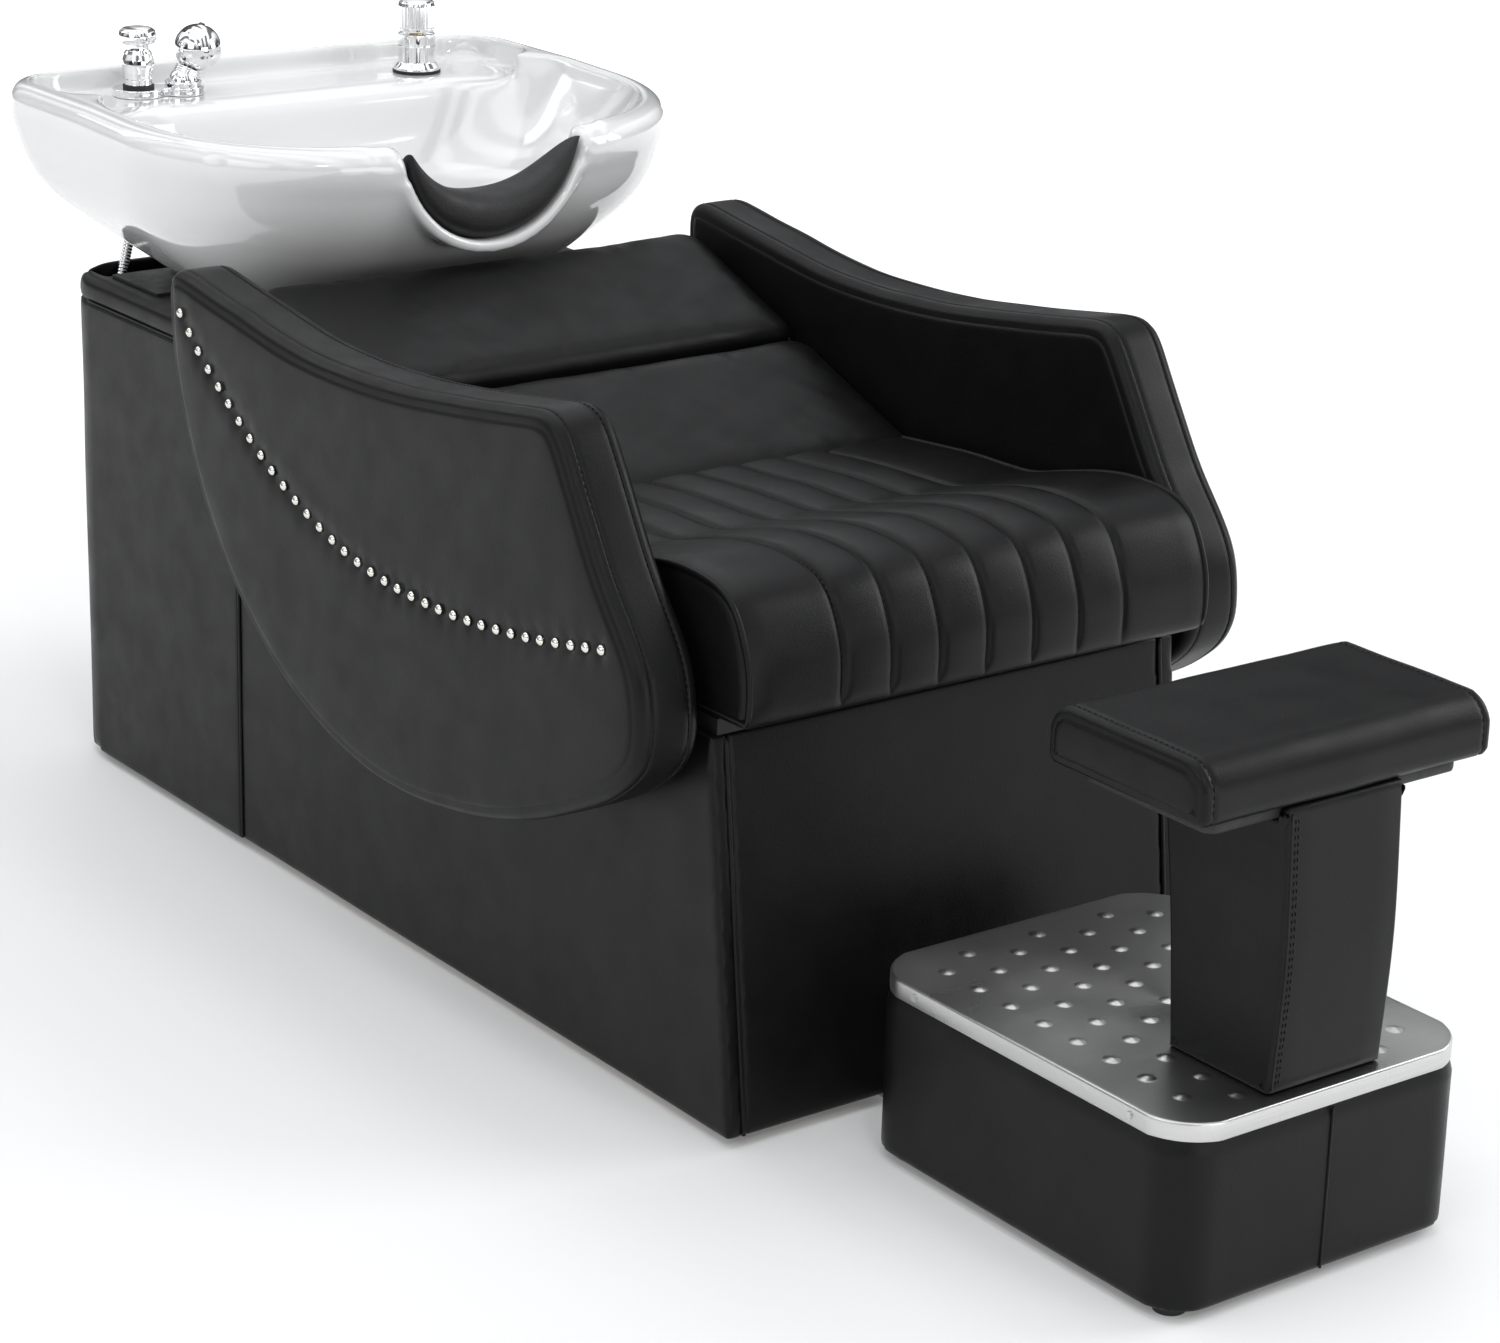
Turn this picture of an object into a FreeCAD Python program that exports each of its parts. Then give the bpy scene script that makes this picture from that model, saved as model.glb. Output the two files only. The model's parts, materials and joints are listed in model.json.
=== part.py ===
import FreeCAD, Part
import Sketcher
import math
import os
import re

# Shampoo backwash unit: a reclined salon chair whose rear cabinet carries a tilting
# ceramic basin, with a separate footrest block bolted on in front.
# Frame: millimetres, +Z up, the client faces -Y, x = 0 is the chair's middle plane,
# z = 0 is the floor and the origin is the middle of the whole unit's floor area.

Vector = FreeCAD.Vector
doc = FreeCAD.newDocument("backwash_unit")
sheet = doc.addObject("Spreadsheet::Sheet", "dims")

# Every depth called *_depth is measured back from the chair's front bottom edge,
# which stands at y = chair_front. A negative depth lies in front of it.
DRIVING = {
    "chair": {
        "chair_front": -427.0,
        "base_bottom": 10.0,
        "base_half": 269.0,
        "panel": 18.0,
        "ply": 15.0,
        "front_lean": 43.0,
        "base_length": 864.0,
        "deck_top": 392.0,
        "rail": 40.0,
        "rail_start": 26.0,
        "foot_radius": 19.0,
    },
    "seat": {
        "seat_half": 267.0,
        "seat_front_depth": -9.0,
        "seat_roll_depth": 100.0,
        "seat_roll_top": 520.0,
        "seat_dip_depth": 250.0,
        "seat_dip_top": 485.0,
        "seat_rear_depth": 429.0,
        "seat_rear_top": 472.0,
        "seat_nose_round": 50.0,
    },
    "back": {
        "back_angle": 20.4,
        "back_start_depth": 430.0,
        "back_start_top": 470.0,
        "back_thick": 85.0,
        "back_half": 278.0,
        "lower_back_run": 212.0,
        "upper_back_run": 208.0,
        "back_gap": 3.0,
    },
    "arm": {
        "arm_outer": 350.0,
        "arm_inner": 282.0,
        "spacer_depth": 200.0,
        "spacer_run": 440.0,
        "spacer_bottom": 290.0,
        "spacer_rise": 90.0,
        "bolt_radius": 4.0,
        "nail_count": 34.0,
        "nail_radius": 5.0,
        "nail_dome": 3.2,
    },
    "cabinet": {
        "cabinet_half": 270.0,
        "cabinet_rear_depth": 1252.0,
        "cabinet_corner": 70.0,
        "cabinet_top_bottom": 522.0,
        "cabinet_top": 548.0,
        "service_half": 165.0,
        "service_bottom": 130.0,
        "service_top": 430.0,
        "service_lap": 25.0,
        "service_panel_thick": 6.0,
    },
    "footrest": {
        "step_bottom": 10.0,
        "step_half": 166.0,
        "step_back_depth": -60.0,
        "step_front_depth": -464.0,
        "step_wall": 16.0,
        "step_corner": 40.0,
        "step_top": 180.0,
        "plate_thick": 1.5,
        "plate_overhang": 2.0,
        "plate_lip": 17.0,
        "dimple_step_x": 40.5,
        "dimple_step_y": 21.5,
        "dimple_radius": 8.0,
        "dimple_rise": 2.0,
        "pillar_half": 65.0,
        "pillar_front_depth": -452.0,
        "pillar_back_depth": -334.0,
        "pillar_top": 419.0,
        "pillar_bow": 6.0,
        "pillar_flare": 28.0,
        "pad_board_thick": 12.0,
        "pad_half": 164.0,
        "pad_back_depth": -268.0,
        "pad_front_depth": -456.0,
        "pad_top": 486.0,
        "pad_round": 20.0,
    },
    "basin": {
        "rim_top": 750.0,
        "rim_half": 316.0,
        "rim_front_depth": 795.0,
        "rim_rear_depth": 1320.0,
        "rim_corner": 80.0,
        "rim_nose": 220.0,
        "skirt_bottom": 562.0,
        "ceramic": 11.0,
        "deck_level": 722.0,
        "bowl_floor": 604.0,
        "drain_depth": 1035.0,
        "notch_radius": 103.0,
        "notch_level": 737.0,
        "neck_inner_radius": 101.0,
        "neck_inner_level": 781.0,
        "pivot_depth": 1150.0,
        "pivot_level": 572.0,
        "pivot_radius": 5.0,
        "running_gap": 0.05,
    },
    "taps": {
        "tap_depth": 1243.0,
        "breaker_depth": 1260.0,
        "sprayer_depth": 1248.0,
        "mixer_x": 181.0,
        "breaker_x": -162.0,
        "sprayer_x": -114.0,
        "sprayer_lean": 28.0,
        "ball_radius": 26.0,
        "hose_radius": 6.0,
    },
}

row = 1
for section, cells in DRIVING.items():
    sheet.set("A%d" % row, section)
    row += 1
    for alias, number in cells.items():
        sheet.set("A%d" % row, alias)
        sheet.set("B%d" % row, str(number))
        sheet.setAlias("B%d" % row, alias)
        row += 1
doc.recompute()

NAMES = {alias for cells in DRIVING.values() for alias in cells}
PARTS = {}


def bound(expression):
    """The same expression with each driving dimension pointed at its cell."""
    return re.sub(r"[a-z_]+", lambda word: "dims." + word.group() if word.group() in NAMES else word.group(),
                  str(expression))


def size(alias):
    return float(sheet.get(alias))


def depth(expression):
    return "chair_front + (%s)" % expression


def depth_value(millimetres):
    return size("chair_front") + millimetres


def bind(item, **properties):
    for name, expression in properties.items():
        item.setExpression(name.replace("__", "."), bound(expression))


def place(item, x=0, y=0, z=0):
    bind(item, Placement__Base__x=x, Placement__Base__y=y, Placement__Base__z=z)


def keep(item, label):
    item.Label = label
    PARTS[label] = item
    return item


def box(name, corner, extent):
    item = doc.addObject("Part::Box", name)
    bind(item, Length=extent[0], Width=extent[1], Height=extent[2])
    place(item, *corner)
    return item


def span_box(name, x, y, z):
    """A box given by its low and high bound along each axis."""
    extent = ["(%s) - (%s)" % (high, low) for low, high in (x, y, z)]
    return box(name, (x[0], y[0], z[0]), extent)


def cylinder(name, radius, length, base, axis="z"):
    item = doc.addObject("Part::Cylinder", name)
    turns = {"x": (Vector(0, 1, 0), 90), "y": (Vector(1, 0, 0), -90), "z": (Vector(0, 0, 1), 0)}
    item.Placement = FreeCAD.Placement(Vector(), FreeCAD.Rotation(*turns[axis]))
    bind(item, Radius=radius, Height=length)
    place(item, *base)
    return item


def cut(name, base, *tools):
    tool = tools[0] if len(tools) == 1 else fuse(name + "_tools", *tools)
    item = doc.addObject("Part::Cut", name)
    item.Base = base
    item.Tool = tool
    return item


def fuse(name, *pieces):
    item = doc.addObject("Part::MultiFuse", name)
    item.Shapes = list(pieces)
    return item


def group(name, pieces):
    """Separate identical solids that share one node."""
    item = doc.addObject("Part::Compound", name)
    item.Links = list(pieces)
    return item


def made(name, shape):
    item = doc.addObject("Part::Feature", name)
    item.Shape = shape
    return item


def origin_plane(body, role):
    return next(plane for plane in body.Origin.OriginFeatures if plane.Role == role)


def outline_sketch(body, name, role, points):
    """A closed polygon whose corners are pinned to expressions of the driving dimensions."""
    sketch = body.newObject("Sketcher::SketchObject", name)
    sketch.AttachmentSupport = (origin_plane(body, role), [""])
    sketch.MapMode = "FlatFace"
    corners = [[float(sheet.evalExpression(bound(value))) for value in point] for point in points]
    count = len(points)
    for index in range(count):
        start = Vector(*corners[index], 0)
        end = Vector(*corners[(index + 1) % count], 0)
        sketch.addGeometry(Part.LineSegment(start, end), False)
    for index in range(count):
        sketch.addConstraint(Sketcher.Constraint("Coincident", index, 2, (index + 1) % count, 1))
    for index in range(count):
        for kind, value, expression in zip(("DistanceX", "DistanceY"), corners[index], points[index]):
            number = sketch.addConstraint(Sketcher.Constraint(kind, -1, 1, index, 1, value))
            sketch.setExpression("Constraints[%d]" % number, bound(expression))
    return sketch


def prism(name, role, points, length, offset, rounds=()):
    """A padded polygon; offset moves it along the sketch's normal, rounds fillets chosen edges."""
    body = doc.addObject("PartDesign::Body", name)
    sketch = outline_sketch(body, name + "_outline", role, points)
    pad = body.newObject("PartDesign::Pad", name + "_pad")
    pad.Profile = sketch
    bind(pad, Length=length)
    doc.recompute()
    tip = pad
    for index, (radius, chosen) in enumerate(rounds):
        edges = ["Edge%d" % (number + 1) for number, edge in enumerate(tip.Shape.Edges) if chosen(edge)]
        fillet = body.newObject("PartDesign::Fillet", "%s_round_%d" % (name, index))
        fillet.Base = (tip, edges)
        bind(fillet, Radius=radius)
        doc.recompute()
        tip = fillet
    body.Tip = tip
    axis = {"YZ_Plane": "x", "XY_Plane": "z"}[role]
    bind(body, **{"Placement__Base__" + axis: offset})
    return body


def runs_along(edge, axis):
    if len(edge.Vertexes) != 2:
        return False
    way = edge.Vertexes[1].Point - edge.Vertexes[0].Point
    return abs(abs(way.normalize().dot(axis)) - 1) < 1e-6


def upright(edge):
    return runs_along(edge, Vector(0, 0, 1))


def edge_near(axis, *targets):
    """Edges along an axis whose middle lies within 2 mm of a target, ignoring that axis."""
    def chosen(edge):
        if not runs_along(edge, axis):
            return False
        middle = edge.CenterOfMass
        for target in targets:
            gap = middle - target
            if (gap - axis * gap.dot(axis)).Length < 2:
                return True
        return False
    return chosen


SIDES = (("left", -1), ("right", 1))


# ---------------------------------------------------------------- chair base

def side_span(low, high, sign):
    """The x bounds of a piece that is mirrored to either side."""
    return (low, high) if sign > 0 else ("-(%s)" % high, "-(%s)" % low)


BACK_SLOPE = "tan(back_angle)"
BACK_BOARD_FOOT = "back_start_depth + 37"
BOARD_BOTTOM = "deck_top - ply"


def build_base():
    side_outline = [
        (depth(0), "base_bottom"),
        (depth("base_length"), "base_bottom"),
        (depth("base_length"), "%s + (base_length - %s) * %s" % (BOARD_BOTTOM, BACK_BOARD_FOOT.replace("+", "-"),
                                                                BACK_SLOPE)),
        (depth(BACK_BOARD_FOOT), BOARD_BOTTOM),
        (depth("front_lean"), BOARD_BOTTOM),
    ]
    for side, sign in SIDES:
        low = side_span("base_half - panel", "base_half", sign)[0]
        panel = prism("side_blank_" + side, "YZ_Plane", side_outline, "panel", low)
        holes = [
            cylinder("side_hole_%s_%d" % (side, number), "bolt_radius + 0.2", "panel + 2",
                     ("%s - 1" % low, depth(bolt_depth(number)), BOLT_LEVEL), "x")
            for number in range(3)
        ]
        keep(cut("base_side_" + side, panel, *holes), "base_side_" + side)

    front = prism("front_panel", "YZ_Plane", [
        (depth(0), "base_bottom"),
        (depth("panel"), "base_bottom"),
        (depth("panel + front_lean"), BOARD_BOTTOM),
        (depth("front_lean"), BOARD_BOTTOM),
    ], "2 * (base_half - panel)", "panel - base_half")
    keep(front, "base_front_panel")

    bulkhead = span_box("bulkhead", ("panel - base_half", "base_half - panel"),
                        (depth("base_length - panel"), depth("base_length")),
                        ("base_bottom", "%s + (base_length - panel - back_start_depth - 37) * %s"
                         % (BOARD_BOTTOM, BACK_SLOPE)))
    keep(bulkhead, "rear_bulkhead")

    deck = span_box("seat_deck", ("panel / 2 - base_half", "base_half - panel / 2"),
                    (depth("front_lean + 2"), depth("back_start_depth + 26")), (BOARD_BOTTOM, "deck_top"))
    keep(deck, "seat_deck")

    board = box("back_board", ("panel / 2 - base_half", depth(BACK_BOARD_FOOT), BOARD_BOTTOM),
                ("2 * base_half - panel", "(base_length - 14 - back_start_depth - 37) / cos(back_angle)", "ply"))
    board.Placement = FreeCAD.Placement(board.Placement.Base, FreeCAD.Rotation(Vector(1, 0, 0), 20))
    bind(board, Placement__Rotation__Angle="back_angle")
    keep(board, "back_board")


def build_frame():
    inner = "base_half - panel"
    for side, sign in SIDES:
        rail = span_box("rail_" + side, side_span("%s - rail" % inner, inner, sign),
                        (depth("rail_start"), depth("base_length - panel")), ("base_bottom", "base_bottom + rail"))
        keep(rail, "base_rail_" + side)
    bars = []
    for number, start in enumerate(("rail_start", "back_start_depth", "base_length - panel - rail")):
        bars.append(span_box("crossbar_%d" % number, ("rail - (%s)" % inner, "%s - rail" % inner),
                             (depth(start), depth("%s + rail" % start)), ("base_bottom", "base_bottom + rail")))
    keep(group("crossbars", bars), "base_crossbars")
    floor_bar = span_box("floor_bar", ("cabinet_corner / 2 - base_half", "base_half - cabinet_corner / 2"),
                         (depth("cabinet_rear_depth - 90"), depth("cabinet_rear_depth - 50")),
                         ("base_bottom", "base_bottom + rail"))
    keep(floor_bar, "cabinet_floor_bar")


def foot(name, x, y, radius, height):
    """A turned plastic glide: a wide disc with a slimmer neck above it."""
    disc = cylinder(name + "_disc", radius, "0.55 * (%s)" % height, (x, y, 0))
    neck = cylinder(name + "_neck", "0.7 * (%s)" % radius, "0.45 * (%s)" % height, (x, y, "0.55 * (%s)" % height))
    return fuse(name, disc, neck)


def build_feet():
    rows = (("front", "rail_start + rail / 2"), ("rear", "cabinet_rear_depth - 70"))
    for end, along in rows:
        for side, sign in SIDES:
            across = "%d * (base_half - panel - rail / 2)" % sign
            item = foot("foot_%s_%s" % (end, side), across, depth(along), "foot_radius", "base_bottom")
            keep(item, "foot_%s_%s" % (end, side))


# ---------------------------------------------------------------- cushions

def build_seat():
    nose = Vector(0, depth_value(size("seat_front_depth")), size("seat_roll_top") - 4)
    roll = Vector(0, depth_value(size("seat_roll_depth")), size("seat_roll_top"))
    cushion = prism("seat_cushion", "YZ_Plane", [
        (depth("back_start_depth + 29"), "deck_top"),
        (depth("seat_front_depth + 7"), "deck_top"),
        (depth("seat_front_depth"), "seat_roll_top - 4"),
        (depth("seat_roll_depth"), "seat_roll_top"),
        (depth("seat_dip_depth"), "seat_dip_top"),
        (depth("seat_rear_depth"), "seat_rear_top"),
    ], "2 * seat_half", "-seat_half", [
        ("seat_nose_round", edge_near(Vector(1, 0, 0), nose)),
        ("2 * seat_nose_round", edge_near(Vector(1, 0, 0), roll)),
    ])
    keep(cushion, "seat_cushion")


def back_cushion(label, start, run):
    """A slab that lies along the reclined back, start millimetres up the slope."""
    slab = prism(label, "YZ_Plane", [
        (start, "-back_thick"),
        ("%s + %s" % (start, run), "-back_thick"),
        ("%s + %s" % (start, run), "0"),
        (start, "0"),
    ], "2 * back_half", "-back_half", [
        ("12", lambda edge: runs_along(edge, Vector(1, 0, 0)) and edge.CenterOfMass.z > -1),
    ])
    slab.Placement = FreeCAD.Placement(Vector(), FreeCAD.Rotation(Vector(1, 0, 0), 20))
    bind(slab, Placement__Rotation__Angle="back_angle", Placement__Base__x="-back_half",
         Placement__Base__y=depth("back_start_depth"), Placement__Base__z="back_start_top")
    keep(slab, label)


def build_back():
    back_cushion("lower_back_cushion", "0", "lower_back_run")
    back_cushion("upper_back_cushion", "lower_back_run + back_gap", "upper_back_run")


# ---------------------------------------------------------------- arms

BOLT_LEVEL = "spacer_bottom + spacer_rise / 2"
BOLT_BITE = 32.0
BOLT_HEAD = 6.0


def bolt_depth(number):
    return "spacer_depth + spacer_run * (0.12 + 0.38 * %d)" % number


def curve(points, start_way=None, end_way=None):
    """A smooth edge through (depth, z) points in the x = 0 plane."""
    spline = Part.BSplineCurve()
    knots = [Vector(0, depth_value(y), z) for y, z in points]
    if start_way:
        spline.interpolate(knots, InitialTangent=Vector(0, *start_way), FinalTangent=Vector(0, *end_way))
    else:
        spline.interpolate(knots)
    return spline


def arm_profile():
    """The sling-shaped outline of an arm, in the x = 0 plane."""
    toe = (34, 385)
    heel = (858, 600)
    brow = (170, 634)
    crown = (200, 642)
    tip = (848, 636)
    front = curve([toe, (46, 450), (100, 520), (140, 585), brow])
    nose = curve([brow, (180, 641), crown], (0.35, 0.94), (1, 0.0))
    top = curve([crown, (300, 626), (450, 608), (600, 605), (730, 620), tip])
    tail = curve([tip, (857, 628), heel], (0.95, 0.25), (0, -1))
    sling = curve([heel, (846, 520), (797, 412), (718, 320), (601, 250), (446, 219), (269, 243), (126, 300),
                   (52, 350), toe], (0, -1), (-0.1, 1))
    return Part.Wire([line.toShape() for line in (front, nose, top, tail, sling)])


def build_arms():
    profile = Part.Face(arm_profile())
    thickness = size("arm_outer") - size("arm_inner")
    for side, sign in SIDES:
        start = size("arm_inner") if sign > 0 else -size("arm_outer")
        slab = profile.copy()
        slab.translate(Vector(start, 0, 0))
        solid = slab.extrude(Vector(thickness, 0, 0))
        face = sign * size("arm_inner")
        for number in range(3):
            along = size("spacer_depth") + size("spacer_run") * (0.12 + 0.38 * number)
            level = size("spacer_bottom") + size("spacer_rise") / 2
            hole = Part.makeCylinder(size("bolt_radius"), BOLT_BITE, Vector(face, depth_value(along), level),
                                     Vector(sign, 0, 0))
            solid = solid.cut(hole)
        keep(made("arm_" + side, solid), "arm_" + side)

        spacer = span_box("spacer_" + side, side_span("base_half", "arm_inner", sign),
                          (depth("spacer_depth"), depth("spacer_depth + spacer_run")),
                          ("spacer_bottom", "spacer_bottom + spacer_rise"))
        low = side_span("base_half", "arm_inner", sign)[0]
        holes = [
            cylinder("spacer_hole_%s_%d" % (side, number), "bolt_radius + 0.2", "arm_inner - base_half + 2",
                     ("%s - 1" % low, depth(bolt_depth(number)), BOLT_LEVEL), "x")
            for number in range(3)
        ]
        keep(cut("arm_spacer_" + side, spacer, *holes), "arm_spacer_" + side)


def build_arm_bolts():
    bolts = []
    for side, sign in SIDES:
        for number in range(3):
            name = "arm_bolt_%s_%d" % (side, number)
            shank_span = side_span("base_half - panel", "arm_inner + %g" % BOLT_BITE, sign)
            head_span = side_span("base_half - panel - %g" % BOLT_HEAD, "base_half - panel", sign)
            centre = (depth(bolt_depth(number)), BOLT_LEVEL)
            shank = cylinder(name + "_shank", "bolt_radius", "arm_inner + %g - base_half + panel" % BOLT_BITE,
                             (shank_span[0],) + centre, "x")
            head = cylinder(name + "_head", "2 * bolt_radius", "%g" % BOLT_HEAD, (head_span[0],) + centre, "x")
            bolts.append(fuse(name, shank, head))
    keep(group("arm_bolt_set", bolts), "arm_bolts")


def nail_line():
    return curve([(828, 595), (772, 550), (647, 476), (509, 431), (368, 421), (226, 433), (93, 457)])


def build_nails():
    """Domed upholstery nails, evenly spaced along the sling line of each arm."""
    radius = size("nail_radius")
    dome = size("nail_dome")
    ball = (radius ** 2 + dome ** 2) / (2 * dome)
    for side, sign in SIDES:
        nails = []
        for point in nail_line().discretize(Number=int(size("nail_count"))):
            centre = Vector(sign * size("arm_outer"), point.y, point.z)
            cap = Part.makeSphere(ball, centre + Vector(sign * (dome - ball), 0, 0))
            keeper = Part.makeCylinder(radius + 1, dome + 1, centre, Vector(sign, 0, 0))
            nails.append(cap.common(keeper))
        keep(made("nailheads_" + side, Part.makeCompound(nails)), "nailheads_" + side)


# ---------------------------------------------------------------- rear cabinet

def rounded_rear(half, rear, corner, z, rise, front=None):
    """A slab with square front corners and rounded rear corners."""
    front = size("base_length") if front is None else front
    y_front = depth_value(front)
    y_rear = depth_value(rear)
    bend = corner * (1 - math.sqrt(0.5))
    left = [Vector(-half, y_front, z), Vector(-half, y_rear - corner, z)]
    right = [Vector(half, y_rear - corner, z), Vector(half, y_front, z)]
    edges = [
        Part.LineSegment(*left).toShape(),
        Part.Arc(left[1], Vector(bend - half, y_rear - bend, z), Vector(corner - half, y_rear, z)).toShape(),
        Part.LineSegment(Vector(corner - half, y_rear, z), Vector(half - corner, y_rear, z)).toShape(),
        Part.Arc(Vector(half - corner, y_rear, z), Vector(half - bend, y_rear - bend, z), right[0]).toShape(),
        Part.LineSegment(*right).toShape(),
        Part.LineSegment(right[1], left[0]).toShape(),
    ]
    return Part.Face(Part.Wire(edges)).extrude(Vector(0, 0, rise))


def build_cabinet():
    half = size("cabinet_half")
    rear = size("cabinet_rear_depth")
    corner = size("cabinet_corner")
    panel = size("panel")
    bottom = size("base_bottom")
    rise = size("cabinet_top_bottom") - bottom
    outer = made("cabinet_outer", rounded_rear(half, rear, corner, bottom, rise))
    inner = made("cabinet_inner", rounded_rear(half - panel, rear - panel, corner - panel, bottom - 1, rise + 2,
                                               size("base_length") - 1))
    opening = span_box("service_opening", ("-service_half", "service_half"),
                       (depth("cabinet_rear_depth - panel - 2"), depth("cabinet_rear_depth + 2")),
                       ("service_bottom", "service_top"))
    keep(cut("cabinet_shell", outer, inner, opening), "cabinet_shell")

    slab = rounded_rear(half, rear, corner, size("cabinet_top_bottom"),
                        size("cabinet_top") - size("cabinet_top_bottom"), size("base_length") + 3)
    rim = [edge for edge in slab.Edges
           if edge.BoundBox.ZMin > size("cabinet_top") - 0.01 and edge.BoundBox.YMax > depth_value(900)]
    slab = slab.makeFillet(11.0, rim)
    top = made("cabinet_top_slab", slab)
    drain_hole = span_box("drain_cutout", ("-40", "40"), (depth("drain_depth - 55"), depth("drain_depth + 32")),
                          ("cabinet_top_bottom - 1", "cabinet_top + 1"))
    hose_hole = span_box("hose_cutout", ("-248", "-80"),
                         (depth("cabinet_rear_depth - 72"), depth("cabinet_rear_depth - 19")),
                         ("cabinet_top_bottom - 1", "cabinet_top + 1"))
    keep(cut("cabinet_top_board", top, drain_hole, hose_hole), "cabinet_top")


def build_service_panel():
    lap = "service_lap"
    panel = span_box("service_blank", ("-(service_half + %s)" % lap, "service_half + %s" % lap),
                     (depth("cabinet_rear_depth"), depth("cabinet_rear_depth + service_panel_thick")),
                     ("service_bottom - %s" % lap, "service_top + %s" % lap))
    spots = [(sign, level) for sign in (-1, 1) for level in ("service_bottom - 12", "service_top + 12")]
    holes = []
    screws = []
    for number, (sign, level) in enumerate(spots):
        x = "%d * (service_half + 12)" % sign
        holes.append(cylinder("service_hole_%d" % number, "2.2", "service_panel_thick + 2",
                              (x, depth("cabinet_rear_depth - 1"), level), "y"))
        shank = cylinder("service_shank_%d" % number, "2", "service_panel_thick + 14",
                         (x, depth("cabinet_rear_depth - 14"), level), "y")
        head = cylinder("service_head_%d" % number, "4.2", "2.4",
                        (x, depth("cabinet_rear_depth + service_panel_thick"), level), "y")
        screws.append(fuse("service_screw_%d" % number, shank, head))
    keep(cut("service_panel", panel, *holes), "service_panel")
    keep(group("service_screw_set", screws), "service_panel_screws")


# ---------------------------------------------------------------- footrest

def rounded_block(name, half, front, back, bottom, rise, corner):
    """A block with four equally rounded upright corners."""
    return prism(name, "XY_Plane", [
        ("-(%s)" % half, depth(front)),
        (half, depth(front)),
        (half, depth(back)),
        ("-(%s)" % half, depth(back)),
    ], rise, bottom, [(corner, upright)])


def build_step():
    outer = rounded_block("step_outer", "step_half", "step_front_depth", "step_back_depth", "step_bottom",
                          "step_top - plate_thick - step_bottom", "step_corner")
    inner = rounded_block("step_inner", "step_half - step_wall", "step_front_depth + step_wall",
                          "step_back_depth - step_wall", "step_bottom - 1", "step_top - step_bottom + 2",
                          "step_corner - step_wall")
    keep(cut("step_shell", outer, inner), "footrest_shell")
    deck = rounded_block("step_deck", "step_half - step_wall", "step_front_depth + step_wall",
                         "step_back_depth - step_wall", "step_top - plate_thick - ply", "ply",
                         "step_corner - step_wall")
    keep(deck, "footrest_deck")

    corners = [(sign, end) for sign in (-1, 1) for end in ("step_front_depth + 34", "step_back_depth - 34")]
    feet = [foot("step_foot_%d" % number, "%d * (step_half - 30)" % sign, depth(end), "14", "step_bottom")
            for number, (sign, end) in enumerate(corners)]
    keep(group("step_feet", feet), "footrest_feet")


def dimple_spots():
    """A staggered lattice of anti-slip dimples that leaves the pillar's foot clear."""
    step_x = size("dimple_step_x")
    step_y = size("dimple_step_y")
    first = size("step_back_depth") - 31
    rows = int((first - size("step_front_depth") - 25) / step_y) + 1
    spots = []
    for line in range(rows):
        along = first - line * step_y
        columns = (-3, -1, 1, 3) if line % 2 else (-2, 0, 2)
        for column in columns:
            across = column * step_x
            in_pillar = abs(across) < size("pillar_half") + 10 and along < size("pillar_back_depth") + 10
            if not in_pillar:
                spots.append((across, along))
    return spots


PLATE_SCREW_DEPTHS = (-126, -402)


def build_plate():
    """A formed sheet with a lip all round and raised dimples."""
    over = "plate_overhang"
    outer = rounded_block("plate_outer", "step_half + %s" % over, "step_front_depth - %s" % over,
                          "step_back_depth + %s" % over, "step_top - plate_lip", "plate_lip",
                          "step_corner + %s" % over)
    inner = rounded_block("plate_inner", "step_half + 0.1", "step_front_depth - 0.1", "step_back_depth + 0.1",
                          "step_top - plate_lip - 1", "plate_lip - plate_thick + 1", "step_corner + 0.1")
    doc.recompute()
    sheet_metal = outer.Shape.cut(inner.Shape)
    radius = size("dimple_radius")
    rise = size("dimple_rise")
    ball = (radius ** 2 + rise ** 2) / (2 * rise)
    top = size("step_top")
    domes = []
    for across, along in dimple_spots():
        centre = Vector(across, depth_value(along), top + rise - ball)
        keeper = Part.makeCylinder(radius + 1, rise + 1.2, Vector(across, depth_value(along), top - 0.2))
        domes.append(Part.makeSphere(ball, centre).common(keeper))
    holes = [Part.makeCylinder(1.75, 400, Vector(-200, depth_value(along), top - size("plate_lip") / 2), Vector(1, 0, 0))
             for along in PLATE_SCREW_DEPTHS]
    plate = sheet_metal.cut(holes).fuse(domes).removeSplitter()
    keep(made("footrest_plate", plate), "footrest_plate")

    screws = []
    for number, (sign, along) in enumerate([(sign, along) for sign in (-1, 1) for along in PLATE_SCREW_DEPTHS]):
        start = side_span("step_half - 12", "step_half + plate_overhang", sign)[0]
        cap = side_span("step_half + plate_overhang", "step_half + plate_overhang + 1.8", sign)[0]
        centre = (depth(along), "step_top - plate_lip / 2")
        shank = cylinder("plate_shank_%d" % number, "1.7", "12 + plate_overhang", (start,) + centre, "x")
        head = cylinder("plate_head_%d" % number, "3.4", "1.8", (cap,) + centre, "x")
        screws.append(fuse("plate_screw_%d" % number, shank, head))
    keep(group("plate_screw_set", screws), "footrest_plate_screws")


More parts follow.
